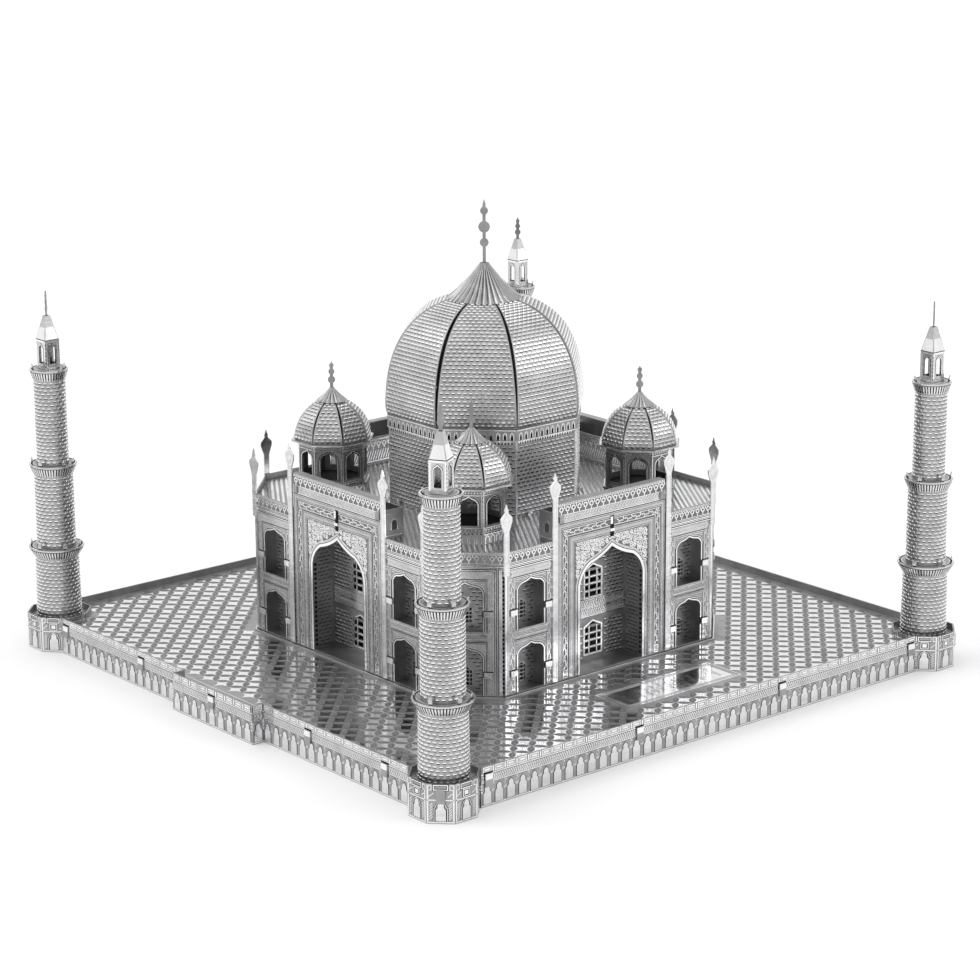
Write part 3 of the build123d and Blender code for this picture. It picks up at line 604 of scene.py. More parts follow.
def lens(u, v, angle):
    """Pointed oval where two circles of the deck's lattice overlap, shrunk a little."""
    half = [polar(CELL / math.sqrt(2), math.radians(0.86 * (15 * step - 45))) for step in range(6)]
    cos, sin = math.cos(angle), math.sin(angle)
    return [(u + side * (along * cos + aside * sin), v + side * (along * sin - aside * cos))
            for side in (1, -1) for aside, along in shifted(half, -CELL / 2 - 0.12)]


def make_deck():
    """Lattice of polished stars and etched lenses over the deck, its plaque and its border."""
    place = level(DECK_TOP)
    stars, lenses = Relief(place, MIRROR), Relief(place, DEEP_ETCHED_AND_SHADE)
    spacing = CELL * math.sqrt(2)
    limit = SKIRT_PLANE - SHEET - DECK_MARGIN
    reach = int(limit / spacing) + 1
    for row in range(-2 * reach, 2 * reach + 1):
        for column in range(-reach, reach + 1):
            u, v = (column + 0.5 * (row % 2)) * spacing, row * spacing / 2
            if max(abs(u), abs(v)) < limit - 0.6 and on_open_deck(u, v, 1.6):
                stars.prism(star(u, v, limit), concave=True)
            for angle in (math.radians(45), math.radians(135)):
                x, y = polar(CELL / 2, angle, u, v)
                if max(abs(x), abs(y)) < limit - 1.6 and on_open_deck(x, y, 1.2):
                    length = angle + math.pi / 2
                    lenses.prism(lens(x, y, length), FILM)
                    for offset in (-0.42, 0.0, 0.42):
                        stroke = [polar(0.26 * side, length + 1.1, *polar(offset, length, x, y)) for side in BOTH]
                        lenses.ribbon(stroke, 0.12, height=0.04, finish=ETCHED)
    piece("deck_stars", stars)
    piece("deck_lenses", lenses)

    plaque = Relief(place, MIRROR)
    (middle_u, half_u), (middle_v, half_v) = (((low + high) / 2, (high - low) / 2) for low, high in NAMEPLATE)
    for inset, width in ((0.0, 0.3), (0.75, 0.16)):
        plaque.ribbon(oblong(about(middle_u, half_u - inset), about(middle_v, half_v - inset)), width, closed=True)
    plaque.bar(about(middle_u, half_u - 1.2), about(middle_v, half_v - 1.2), 0.04)
    plaque.place, plaque.finish = level(DECK_TOP + 0.04), DEEP_ETCHED_AND_SHADE
    for v in [middle_v + side * (half_v - inset) for side in BOTH for inset in (3.2, 3.75)]:
        plaque.ribbon([(u, v) for u in about(middle_u, 2.8)], 0.16, height=0.01)
    for step in range(-4, 5):
        wave = [(2.3 * math.sin(k), 0.32 * k - 0.96) for k in range(7)]
        plaque.ribbon(shifted(wave, middle_u, middle_v + step * 2.1), 0.16, height=0.01)
    piece("deck_plaque", plaque)

    border = Relief(place)
    border.ribbon(oblong(about(0, limit + 0.1), about(0, limit + 0.1)), 0.22, closed=True)
    piece("deck_border", border)


def keyhole_arch(art, u, up=0.0):
    """Polished keyhole arch of the arcade, in a dark outline."""
    right = [(1.0, 0.5), (0.97, 2.8), (0.62, 3.15), (0.6, 3.35)]
    right += [polar(0.62, math.radians(turn), 0.0, 3.65) for turn in (0, 30, 60)]
    outline = shifted(right + [(0.0, 4.42)] + [(-x, y) for x, y in reversed(right)], u)
    art.prism(shifted(outline, 0.0, up), concave=True, finish=POLISHED)
    art.ribbon(beside(outline, -0.06, True), 0.13, True, THIN, finish=SHADOW)


def skirt_band(art, start, end, tabs=()):
    """Ornament of one straight run of skirt between two values of u."""
    us = (start, end)
    art.bar(us, (0.18, 0.42))
    art.grooved(us, 4.94, 0.16)
    art.grooved(us, 6.67, 0.18)
    hatch(art, us, (5.15, 5.78), 0.55, 0.17, 0.7)
    hatch(art, us, (5.82, 6.45), 0.55, 0.17, -0.7)
    count = max(1, round((end - start) / SKIRT_PITCH))
    step = (end - start) / count
    for index in range(count):
        u = start + (index + 0.5) * step
        keyhole_arch(art, u)
        for side in BOTH:
            for up in (3.0, 3.75, 4.4):
                curl(art, u + side * (step / 2 - 0.28 + 0.06 * up), up + 0.1, 0.27, up * 3, side, 0.1)
            art.bar(about(u + side * 1.24, 0.06), (7.0, 8.1), FILM, finish=SHADOW)
        art.ribbon(oblong(about(u, 1.02), (7.08, 8.02)), 0.2, closed=True)
        art.bar(about(u, 0.7), (7.36, 7.74), 0.04)
        if index < count - 1:
            art.bar(about(u + step / 2, 0.2), (7.0, 8.1))
    for u in tabs:
        art.bar(about(u, 1.15), (DECK_TOP + 0.02, DECK_TOP + 0.34), 0.1, finish=SHADOW)
        art.bar((u - 1.1, u - 0.92), (DECK_TOP - 1.2, DECK_TOP + 0.1), 0.1, finish=SHADOW)
    folded_tabs(art, [(u, DECK_TOP) for u in tabs])


def make_skirts():
    """Arcade, friezes and cresting of the four skirts."""
    for name, turn in SIDES.items():
        runs = [(turn, SKIRT_PLANE, (-SKIRT_END, SKIRT_END), SIDE_TABS)]
        if name == "front":
            runs = [(0, SKIRT_PLANE, (-SKIRT_END, -BLOCK_HALF), FRONT_TABS[:2]),
                    (0, SKIRT_PLANE, (BLOCK_HALF, SKIRT_END), FRONT_TABS[2:]),
                    (0, BLOCK_FACE, about(0, BLOCK_HALF - 0.15), (0.0,)),
                    (90, BLOCK_HALF, (-BLOCK_FACE + 0.1, -SKIRT_PLANE - 0.1), ()),
                    (270, BLOCK_HALF, (SKIRT_PLANE + 0.1, BLOCK_FACE - 0.1), ())]
        art = Relief(finish=BRIGHT)
        for run_turn, distance, ends, tabs in runs:
            art.place = wall(run_turn, distance)
            skirt_band(art, *ends, tabs)
        piece(f"skirt_{name}_ornament", art)


def make_turrets():
    """Ornament on the outward flats of the corner turrets."""
    half = TURRET_APOTHEM * TAN_EIGHTH
    for name, corner in CORNERS.items():
        art = Relief(finish=BRIGHT)
        for turn in range(corner - 135, corner + 136, 45):
            art.place = wall(turn, TURRET_APOTHEM, heading(corner).xy * math.sqrt(2) * MINARET_AXIS)
            for vs in ((0.18, 0.42), (4.7, 4.9)):
                art.bar(about(0, half - 0.1), vs)
            art.outlined(oblong((-1.35, 1.35), (6.85, 7.8)), 0.2, closed=True)
            if turn != corner:
                art.outlined(oblong((-0.8, 0.8), (5.15, 6.55)), 0.18, closed=True)
                art.bar((-0.42, 0.42), (5.45, 6.25), 0.05)
            keyhole_arch(art, 0.0, 0.02)
            for side in BOTH:
                art.bar(out_from(side, half - 0.42, half - 0.14), (0.5, TURRET_HIGH.z - 0.1))
                art.ribbon(oblong(about(side * 2.1, 0.3), (6.85, 7.8)), 0.14, closed=True)
                hatch(art, about(side * 1.9, 0.55), (5.15, 6.5), 0.42, 0.14, 0.8)
                art.outlined([(side * u, v) for u, v in
                              ((1.28, 0.5), (1.28, 3.1), (0.9, 3.6), (0.8, 4.1), (0.0, 4.62))], 0.13)
                hatch(art, about(side * 1.85, 0.3), (0.6, 4.5), 0.5, 0.13)
        piece(f"turret_{name}_ornament", art)


# ---------------------------------------------------------------- minarets
STAGES = ("lower", "middle", "upper")
SHAFT_TAPER = dict(zip(STAGES, (0.2, 0.05, 0.05)))
NECKS = dict(zip(STAGES, (4.9, 4.4, 3.6)))
COLLAR_RIBS = dict(zip(STAGES, (44, 38, 30)))
EAR_TURNS = dict(zip(STAGES, 2 * [(-36, 22, 84, 131, 236)] + [(-28, 128, 215)]))
TUBE_SIDES = 96
TUBE_SEAM = 0.16


def ear(art, spot, turn, height, width, lean):
    """Small round-headed tab that stands on a gallery or the roof."""
    out, right = heading(turn), heading(turn + 90)
    up = (Vector((0, 0, 1)) + out * lean).normalized()
    face_out, half = right.cross(up).normalized(), width / 2
    art.place = lambda u, v, h: spot + right * u + up * v + face_out * h
    head = [polar(half, math.radians(angle), 0, height - half) for angle in range(0, 181, 30)]
    art.prism([(-half * 0.7, -0.1), (half * 0.7, -0.1), (half, 0.5 * height), *head, (-half, 0.5 * height)],
              0.12, base=-0.12)


def make_shaft(name, corner, stage):
    """Rolled tube with raised bricks and an upright seam; gives its axis."""
    cad_node = f"minaret_{name}_{stage}_shaft"
    low, high = span(cad_node)
    middle, radius = ((low.x + high.x) / 2, (low.y + high.y) / 2), (high.x - low.x) / 2
    taper = SHAFT_TAPER[stage] / (high.z - low.z)
    art = Relief(tube(middle, lambda v: radius - taper * (v - low.z), radius), BRIGHT, BRICK_SHADE)
    start = math.radians(corner + 160) * radius + TUBE_SEAM / 2
    around = 2 * math.pi * radius - TUBE_SEAM
    rows = [[art.place(start + around * step / TUBE_SIDES, v, h)
             for v, h in ((low.z, 0), (high.z, 0), (high.z, -SHEET), (low.z, -SHEET))]
            for step in range(TUBE_SIDES, -1, -1)]
    art.loft(rows, closed=False, finish=BRICKED)
    round_bricks(art, radius, low.z + 0.35, high.z - GALLERY_DROP + SHEET)
    piece(f"minaret_{name}_{stage}_tube", art, (cad_node,), 35)
    return middle


def make_gallery(name, middle, stage):
    """Flat ring with a fluted flaring collar under its rim, and ears standing on it."""
    high = span(f"minaret_{stage}_galleries")[1]
    rim, top, neck = high.x - MINARET_AXIS, high.z, NECKS[stage]
    bore, collar = neck - 2.25, GALLERY_DROP - SHEET

    def flare(share):
        return neck + (rim - neck) * (1 - share) ** 0.8

    rows, per_rib = [], 6
    for step in range(COLLAR_RIBS[stage] * per_rib):
        out = heading(360 * step / (COLLAR_RIBS[stage] * per_rib))
        wave = 0.5 - 0.5 * math.cos(2 * math.pi * step / per_rib)
        spots = [(bore, top), (rim, top), (rim, top - SHEET)]
        for share in (0.06, 0.3, 0.65, 0.95, 1.0):
            bulge = 0.3 * math.sin(math.pi * min(1.0, share * 1.02)) * wave
            spots.append((flare(share) + bulge - 0.3, top - SHEET - collar * share))
        spots += [(neck - 0.14, top - GALLERY_DROP), (rim - 0.6, top - 2 * SHEET), (bore, top - SHEET)]
        rows.append([Vector((*middle, up)) + out * across for across, up in spots])
    art = Relief(level(top, middle))
    art.loft(rows, finish=ETCHED)
    for inset, width in ((0.2, 0.3), (0.95, 0.16)):
        art.ribbon(circle(0, 0, rim - inset, 64), width, closed=True)
    art.ribbon(circle(0, 0, rim - 0.55, 64), 0.3, True, FILM, finish=SHADOW)
    around = 2 * math.pi * rim
    art.place = tube(middle, lambda v: rim, rim)
    art.ribbon([(around * k / 64, top - SHEET / 2) for k in range(64)], 0.16, height=0.05)
    art.place = tube(middle, lambda v: flare(min(1.0, max(0.0, (top - SHEET - v) / collar))) - 0.1, rim)
    count = round(around / 0.64)
    for step in range(count):
        for u, start, end, width, height, finish in ((step, 0.5, 0.1, 0.36, 0.1, POLISHED),
                                                     (step + 0.5, 0.6, 0.2, 0.22, 0.03, SHADOW)):
            drops = (start, 1.1, 1.7, GALLERY_DROP - end)
            art.ribbon([(u * around / count, top - drop) for drop in drops], width, False, height, -0.2, finish)
    piece(f"minaret_{name}_{stage}_gallery", art, (f"minaret_{stage}_galleries",), 40)
    ears = Relief(finish=SATIN)
    for turn in EAR_TURNS[stage]:
        turn += random.uniform(-8, 8)
        ear(ears, Vector((*middle, top)) + heading(turn) * (rim - 0.75), turn, 1.35, 0.95,
            0.15 + 0.3 * random.random())
    piece(f"minaret_{name}_{stage}_ears", ears)


def make_lantern(name, middle):
    """Arch borders, quoins and roof plates of a lantern."""
    low, high = span(f"minaret_{name}_lantern")
    half, top, tip = LANTERN_HALF, LANTERN_TOP, 0.5
    run, climb = half - tip, high.z - top
    slant = math.hypot(run, climb)
    art = Relief(finish=BRIGHT)
    for side_turn in SIDES.values():
        turn = side_turn + LANTERN_TURNS[name]
        art.place = wall(turn, half, middle)
        art.outlined(arch_path(LANTERN_ARCH, 0.16), 0.2, shade=0.1)
        for side in BOTH:
            art.bar(out_from(side, half - 0.3, half - 0.04), (low.z, top - 0.1))
            art.bar(out_from(side, half - 0.52, half - 0.4), (low.z, top - 0.4))
        for vs in ((low.z + 0.1, low.z + 0.42), (top - 0.5, top - 0.12)):
            art.bar(about(0, half - 0.36), vs)
        art.bar((-half, half), (top - 0.1, top + 0.05), 0.03, finish=SHADOW)
        for step in range(7):
            v = low.z + 0.5 + 0.8 * step
            art.bar(about(half, 0.03), (v, v + 0.4), FILM, finish=SHADOW)
        out, right = heading(turn), heading(turn + 90)
        up = (Vector((0, 0, climb)) - out * run) / slant
        normal, foot = right.cross(up), Vector((*middle, top)) + out * half
        art.place = lambda u, v, h: foot + right * u + up * v + normal * h
        wide = half - 0.16
        art.prism([(-wide, 0.1), (wide, 0.1), (tip - 0.1, slant - 0.3), (-tip + 0.1, slant - 0.3)], 0.05)
    piece(f"minaret_{name}_lantern_ornament", art)


def make_minarets():
    """Shafts, galleries and lanterns on the four corners."""
    for name, corner in CORNERS.items():
        for stage in STAGES:
            middle = make_shaft(name, corner, stage)
            make_gallery(name, middle, stage)
        make_lantern(name, middle)


# ---------------------------------------------------------------- building
WALL_FOOT = 7.4              # where the frames of the walls stand on the floor plate
SILL_LINES = ((19.0, 0.14), (19.3, 0.3), (19.72, 0.14), (20.05, 0.2), (20.4, 0.34), (20.78, 0.1))
CORNICE_LINES = ((34.6, 0.16), (34.92, 0.22), (35.28, 0.12), (35.55, 0.12))
PORTAL_BANDS = ((14.52, 40.5, 1.16), (11.3, 37.25, 1.36), (10.42, 36.4, 0.12))  # half width, top, width
BAND_GROOVES = ((14.84, 40.8), (14.2, 40.2), (11.72, 37.66), (10.9, 36.86))
NICHE_COLUMNS = ((-1.75, 0.9), (0.0, 1.8), (1.75, 0.9))  # middle and width of a pierced window's openings
BAY_COLUMNS = ((-0.8, 0.45), (0.0, 0.8), (0.8, 0.45))
NICHE_HATCHES = ((17.3, 18.0, 0.6), (18.05, 18.75, -0.6), (19.3, 19.95, 0.6), (20.0, 20.6, -0.6))
ROOF_HEADING = 55.5
RIB_PITCH = 1.08
RIB_FACES = ((2, 3, 1, 0), (4, 5, 3, 2), (6, 7, 5, 4), (0, 1, 7, 6), (0, 2, 4, 6), (7, 5, 3, 1))


def reach_of(outline, v):
    """How far an arch reaches from its middle at a height or above it."""
    return max((abs(u) for u, up in outline if up >= v), default=0.0)


def window_ornament(art, across, arch, top):
    """Thin borders, frames and a field of small diamonds around one window of a bay."""
    sill, spring = arch["sill"], arch["spring"]
    art.outlined(shifted(arch_path(arch, 0.2), across), 0.3)
    art.ribbon(shifted(arch_path(arch, 0.62), across), 0.09)
    art.outlined(gate(4.42, top, sill, across), 0.14)
    art.ribbon(gate(4.12, top - 0.3, sill, across), 0.08)
    for row in range(int((top - spring - 0.3) / 0.4)):
        v = spring + 0.3 + row * 0.4
        for step in range(int((4.0 - reach_of(arch_path(arch, 0.8), v - 0.25)) / 0.44)):
            for side in BOTH:
                art.dot(across + side * (3.75 - step * 0.44 - 0.22 * (row % 2)), v, 0.15, sides=4)


def bay_ornament(art, across, half):
    """Ornament of one bay with two stacked windows; half is half the bay's width."""
    window_ornament(art, across, LOW_WINDOW, 18.6)
    window_ornament(art, across, HIGH_WINDOW, 32.1)
    inner, outer = 4.62, min(half - 0.2, 6.2)
    edge = outer - 0.42
    for v, width in SILL_LINES:
        art.grooved(about(across, 4.5), v, width, 0.08)
    art.outlined(gate(outer, 34.2, WALL_FOOT, across), 0.22)
    art.ribbon(gate(outer - 0.3, 33.9, WALL_FOOT, across), 0.08)
    for side in BOTH:
        middle = across + side * (inner + edge) / 2
        for low, high in ((7.6, 18.9), (19.1, 31.9)):
            vine(art, (middle, low), (middle, high), (edge - inner) / 2, 1.1, 0.13)
        for u in (inner, edge):
            art.bar(about(across + side * u, 0.04), (7.5, 32.2))
    hatch(art, about(across, outer - 0.4), (32.45, 33.15))
    hatch(art, about(across, outer - 0.4), (33.2, 33.8), lean=-1.0)
    us = about(across, half - 0.05)
    for v, width in CORNICE_LINES:
        art.grooved(us, v, width)
    art.bar(us, (35.7, 37.42), FIELD, finish=DEEP_ETCHED_AND_SHADE)
    loops(art, about(across, half - 0.1), 36.75, radius=0.42)
    art.bar(us, (37.42, 37.54))
    dots(art, about(across, half - 0.3), 37.78, 0.5, 0.14)
    spots = [(across + side * EAR_OFFSET, top) for side in BOTH for top in EARS]
    for u, top in spots:
        art.bar(about(u, 1.04), (top - 0.05, top + 0.2), 0.09, finish=SHADOW)
        art.bar((u - 1.1, u - 0.92), (top - 1.25, top + 0.2), 0.09, finish=SHADOW)
    folded_tabs(art, spots)


def spandrel_scrolls(art):
    """Scrolling leaves that fill the corners between the portal arch and its frame."""
    outline = arch_path(IWAN, 1.35, steps=9)
    rim = [(max(u, 0.0), v) for u, v in outline if u >= 0 and v >= IWAN["spring"]]
    field = rim + [(0.0, 36.2), (10.3, 36.2), (10.3, 26.8)]
    art.prism(field, FIELD, concave=True, finish=DEEP_ETCHED_AND_SHADE)
    art.prism([(-u, v) for u, v in reversed(field)], FIELD, concave=True, finish=DEEP_ETCHED_AND_SHADE)
    for side in BOTH:
        for row in range(11):
            v = 25.9 + row
            for step in range(int(10.55 - reach_of(outline, v - 0.45))):
                u, turn = side * (9.5 - step), side * (1 if (row + step) % 2 else -1)
                curl(art, u + random.uniform(-0.12, 0.12), v + random.uniform(-0.12, 0.12),
                     random.uniform(0.46, 0.62),
                     math.radians(90 * (step + 2 * row)) + random.uniform(-0.6, 0.6), turn)
                art.dot(u + side * 0.53, v + 0.5, 0.17)


def portal_ornament(art):
    """Frames, vines, scrolls and cresting of the raised portal."""
    for us, vs in ((out_from(1, 12.42, 13.68), (7.5, 39.6)), (out_from(-1, 12.42, 13.68), (7.5, 39.6)),
                   ((-12.4, 12.4), (38.4, 39.6)), ((-15.1, 15.1), (43.1, 45.0))):
        art.bar(us, vs, FIELD, finish=DEEP_ETCHED_AND_SHADE)
    art.outlined(arch_path(IWAN, 0.36, steps=9), 0.62)
    art.ribbon(arch_path(IWAN, 0.92, steps=9), 0.1)
    art.ribbon(arch_path(IWAN, 1.14, steps=9), 0.12)
    for half, top, width in PORTAL_BANDS:
        art.outlined(gate(half, top, WALL_FOOT), width, finish=SATIN)
    for half, top in BAND_GROOVES:
        art.ribbon(gate(half, top, WALL_FOOT), 0.07, height=RAISE + 0.012, finish=SHADOW)
    for side in BOTH:
        vine(art, (side * 13.03, 9.4), (side * 13.03, 38.3), 0.66)
        vine(art, (side * 1.3, 39.0), (side * 12.3, 39.0), 0.66)
        for u in (12.42, 13.66):
            art.bar(about(side * u, 0.05), (7.5, 38.4))
        art.ribbon(oblong(about(side * 13.0, 0.5), (7.6, 9.1)), 0.16, closed=True)
        rosette(art, side * 13.0, 8.35, 0.5)
        hatch(art, out_from(side, 9.72, 10.2), (7.6, 26.0))
        rosette(art, side * 13.0, 39.0, 0.7)
    spandrel_scrolls(art)
    art.bar((-0.5, 0.5), (35.9, 40.45), 0.11, finish=SHADOW)
    art.bar((-0.62, 0.02), (38.7, 40.3), 0.34)
    art.bar((-0.62, 0.5), (37.1, 37.7), 0.34)
    for half, vs in ((12.35, (38.3, 38.4)), (13.7, (39.62, 39.72)), (15.1, (41.3, 41.45)), (15.1, (42.9, 43.05)),
                     (15.1, (44.98, 45.1))):
        art.bar((-half, half), vs)
    hatch(art, (-15.0, 15.0), (41.55, 42.15), width=0.16, lean=0.6)
    hatch(art, (-15.0, 15.0), (42.2, 42.8), width=0.16, lean=-0.6)
    loops(art, (-15.0, 15.0), 44.2)
    dots(art, (-14.9, 14.9), 45.34, 0.5, 0.14)


def make_facades():
    """Ornament of the four facades and the four corner walls."""
    bay_half = min((FACADE_HALF - PORTAL_HALF - 1.65) / 2, FACADE_HALF - WINDOW_OFFSET)
    for name, turn in SIDES.items():
        art = Relief(wall(turn, FACADE_PLANE), BRIGHT)
        portal_ornament(art)
        for side in BOTH:
            bay_ornament(art, side * WINDOW_OFFSET, bay_half)
            art.bar(out_from(side, FACADE_HALF - 0.7, FACADE_HALF - 0.15), (WALL_FOOT, 33.0))
            art.bar(about(side * (FACADE_HALF - 0.85), 0.07), (WALL_FOOT, 33.0), THIN, finish=SHADOW)
        piece(f"facade_{name}_ornament", art)
    for name, turn in CORNERS.items():
        art = Relief(wall(turn, CHAMFER_PLANE), BRIGHT)
        bay_ornament(art, 0.0, CHAMFER_HALF)
        for side in BOTH:
            art.bar(out_from(side, CHAMFER_HALF - 1.15, CHAMFER_HALF - 0.48), (WALL_FOOT, 34.4))
            art.bar(about(side * (CHAMFER_HALF - 1.24), 0.07), (WALL_FOOT, 34.4), THIN, finish=SHADOW)
            perforation(art, side * (CHAMFER_HALF - 0.22), (7.6, 34.5), (0.42, 0.56))
        piece(f"corner_wall_{name}_ornament", art)


def lattice_border(art, foot, columns, pitch, cell, crown):
    """Raised surround and bars of a pierced window with four rows of openings."""
    top, edge = foot + 3 * pitch + cell, (pitch - cell) / 2
    half = columns[-1][0] + columns[-1][1] / 2 + edge
    art.ribbon([(half, foot - edge), (half, top + edge), (0.0, top + crown + 2 * edge),
                (-half, top + edge), (-half, foot - edge)], edge, closed=True)
    for row in (1, 2, 3):
        art.bar((-half, half), about(foot + row * pitch - edge, 0.35 * edge))
    for (before, before_width), (after, after_width) in zip(columns, columns[1:]):
        u = (before + before_width / 2 + after - after_width / 2) / 2
        art.bar(about(u, 0.35 * edge), (foot - edge, top + edge))


def make_niches():
    """Bricks, pierced windows and friezes inside the portal niches and the window linings."""
    half = IWAN["width"] / 2 + 0.3
    start, end = NICHE_BACK + 0.7, FACADE_PLANE - 0.6
    for name, turn in SIDES.items():
        art = Relief(wall(turn, NICHE_BACK + SHEET), BRIGHT)
        for foot in (8.95, 21.5):
            lattice_border(art, foot, NICHE_COLUMNS, 1.55, 0.95, 0.9)
        for low, high, top in ((7.8, 16.6, 16.6), (21.0, 33.2, 29.0)):
            wall_bricks(art, (-half, half), (low, high), lambda v: 2.75 if v < top else 0.0)
        for low, high, lean in NICHE_HATCHES:
            hatch(art, (-half, half), (low, high), 0.5, 0.2, lean)
        for v in (17.15, 18.9, 19.15, 20.75):
            art.grooved((-half, half), v, 0.16)
        art.place = level(FLOOR_TOP)
        art.prism([wall(turn, distance)(side * (half - 0.6), 0, 0).xy
                   for distance, side in ((start, -1), (end, -1), (end, 1), (start, 1))], 0.05, finish=MIRROR)
        for side in BOTH:
            art.place = wall(turn - 90 * side, -half - 0.1)
            # the bricks on the side walls are the darker etched steel, painted shade of the niche's sides
            wall_bricks(art, out_from(side, start + 0.1, end - 0.9), (7.8, 33.0), finish=ETCHED)
            for step in range(18):
                v = 7.9 + 1.06 * step
                art.bar(about(side * (FACADE_PLANE - SHEET - 0.62), 0.28), (v, v + 0.6), finish=SHADOW)
        piece(f"portal_niche_{name}_bricks", art)

    bays = [(turn, FACADE_PLANE, side * WINDOW_OFFSET) for turn in SIDES.values() for side in BOTH]
    bays += [(turn, CHAMFER_PLANE, 0.0) for turn in CORNERS.values()]
    art = Relief(finish=SATIN)
    for turn, plane, across in bays:
        art.place = wall(turn, plane - BAY_DEPTH + SHEET, tuple(heading(turn + 90).xy * across))
        for low, high, foot in ((7.6, 19.6, 8.5), (21.0, 31.8, 22.1)):
            lattice_border(art, foot, BAY_COLUMNS, 0.85, 0.6, 0.6)
            wall_bricks(art, (-3.5, 3.5), (low, high), lambda v: 1.45 if foot - 0.6 < v < foot + 4.6 else 0.0)
    piece("window_lining_bricks", art)


def make_floor_border():
    """Thin lines round the floor plate, and dark ones of painted shade at the foot of the walls."""
    art = Relief(level(FLOOR_TOP))
    face = FLOOR_FACE - 0.25
    half = (CHAMFER_PLANE + 0.45) * math.sqrt(2) - face
    outline = [(face, -half), (face, half), (half, face), (-half, face),
               (-face, half), (-face, -half), (-half, -face), (half, -face)]
    art.ribbon(outline, 0.22, closed=True, height=0.04)
    art.ribbon(beside(outline, 0.3, True), 0.14, True, FILM, finish=SHADOW)
    runs = [(turn, FACADE_PLANE, ends) for turn in SIDES.values()
            for ends in ((-FACADE_HALF, -PORTAL_HALF + 6), (PORTAL_HALF - 6, FACADE_HALF))]
    runs += [(turn, CHAMFER_PLANE, (-CHAMFER_HALF, CHAMFER_HALF)) for turn in CORNERS.values()]
    for turn, plane, ends in runs:
        art.ribbon([tuple(wall(turn, plane + 0.12)(u, 0, 0).xy) for u in ends], 0.24, height=0.03, finish=SHADOW)
    piece("building_floor_border", art)


def run_across_roof(offset):
    """Ends of a straight line over the roof plate, at a distance from the middle."""
    along, across = heading(ROOF_HEADING), heading(ROOF_HEADING + 90)
    limits = [plane - SHEET - 0.35 for plane in (FACADE_PLANE, CHAMFER_PLANE)]
    low, high = -2 * limits[0], 2 * limits[0]
    for side in range(8):
        out = heading(45 * side)
        slope = along.dot(out)
        if abs(slope) > 1e-6:
            cut = (limits[side % 2] - offset * across.dot(out)) / slope
            low, high = (low, min(high, cut)) if slope > 0 else (max(low, cut), high)
    return [tuple((across * offset + along * end).xy) for end in (low, high)] if high - low > 2 else None


def make_roof():
    """Parallel flat-topped ribs pressed into the roof plate."""
    art = Relief(level(ROOF_TOP))
    count = int(1.2 * CHAMFER_PLANE / RIB_PITCH)
    for path in filter(None, (run_across_roof(step * RIB_PITCH) for step in range(-count, count + 1))):
        first = len(art.points)
        for offset, up in ((0.4, -SINK), (0.24, 0.22), (-0.24, 0.22), (-0.4, -SINK)):
            art.points += [art.place(u, v, up) for u, v in beside(path, offset)]
        art.faces += [[first + corner for corner in face] for face in RIB_FACES]
    art.paint(None)
    piece("building_roof_ribs", art)


def make_returns():
    """Frieze on the backings of the raised portals, seen from behind and above."""
    art = Relief()
    arch = dict(width=1.3, sill=38.7, spring=40.2, apex=40.9)
    for turn in SIDES.values():
        art.place = wall(turn + 180, -NICHE_BACK)
        art.bar((-14.5, 14.5), (42.5, 42.8))
        art.bar((-14.5, 14.5), (37.6, 37.8))
        loops(art, (-14.4, 14.4), 41.6)
        hatch(art, (-14.4, 14.4), (38.0, 40.2), 0.7, 0.2, 0.4)
        for side in BOTH:
            art.place = wall(turn + 90 * side, 14.8)
            art.ribbon(shifted(arch_path(arch, 0.2, steps=3), -side * (FACADE_PLANE - 3.7)), 0.2)
            for v in (37.5, 42.2):
                art.bar(out_from(-side, 35.1, 40.4), (v, v + 0.2))
    piece("portal_return_ornament", art)


def make_pinnacles():
    """Ribs and collars on the flat pinnacles."""
    art = Relief()
    for turn in SIDES.values():
        art.place = wall(turn, FACADE_PLANE + PROUD)
        for u, bottom, bulb in [(side * offset, *heights) for side in BOTH
                                for offset, *heights in ((16.05, 7.6, 49.3), (29.2, 33.2, 45.0))]:
            for edge in about(u, 0.45):
                art.bar(about(edge, 0.08), (bottom, bulb - 3.0), 0.04)
            for v in (bulb - 2.75, bulb - 2.3, bulb + 1.5):
                art.bar(about(u, 0.45), about(v, 0.08), 0.04)
            diamond = [(u, bulb - 1.9), (u + 0.95, bulb - 0.3), (u, bulb + 1.0), (u - 0.95, bulb - 0.3)]
            art.ribbon(diamond, 0.14, closed=True, height=0.04)
    piece("pinnacle_ribs", art)


# ---------------------------------------------------------------- domes and chhatris
def make_dome(name, cad_node, dome, middle, seam, rows, pitch, dash, crown, jitter):
    """Eight petals with raised bricks, and painted shade behind the seams."""
    outline = Outline(dome)
    art = Relief(finish=BRIGHT, dark=BRICK_SHADE)
    heights = [outline.length * row / rows for row in range(rows + 1)]
    for side in range(8):
        art.place = petal(45 * side + jitter * random.uniform(-1, 1), outline, middle, crown)
        strips = []
        for row, v in enumerate(heights):
            half = outline.half(v) - seam / 2 * (0.8 + 1.4 * math.sin(math.pi * row / rows))
            us = [half * share for share in (-1.0, -0.5, 0.0, 0.5, 1.0)]
            strips.append([art.place(u, v, 0) for u in us] + [art.place(u, v, -SHEET) for u in reversed(us)])
        art.loft(strips, closed=False, finish=BRICKED)
        edge = [(outline.half(v), v) for v in heights]
        art.ribbon(edge, 2.4 * seam, False, -1.7 * SHEET, -2 * SHEET, SHADOW)
        bricks(art, lambda v: outline.half(v) - 1.15 * seam - 0.15, 0.3, outline.length - 0.2, pitch, dash)
    piece(name, art, (cad_node,), 35)


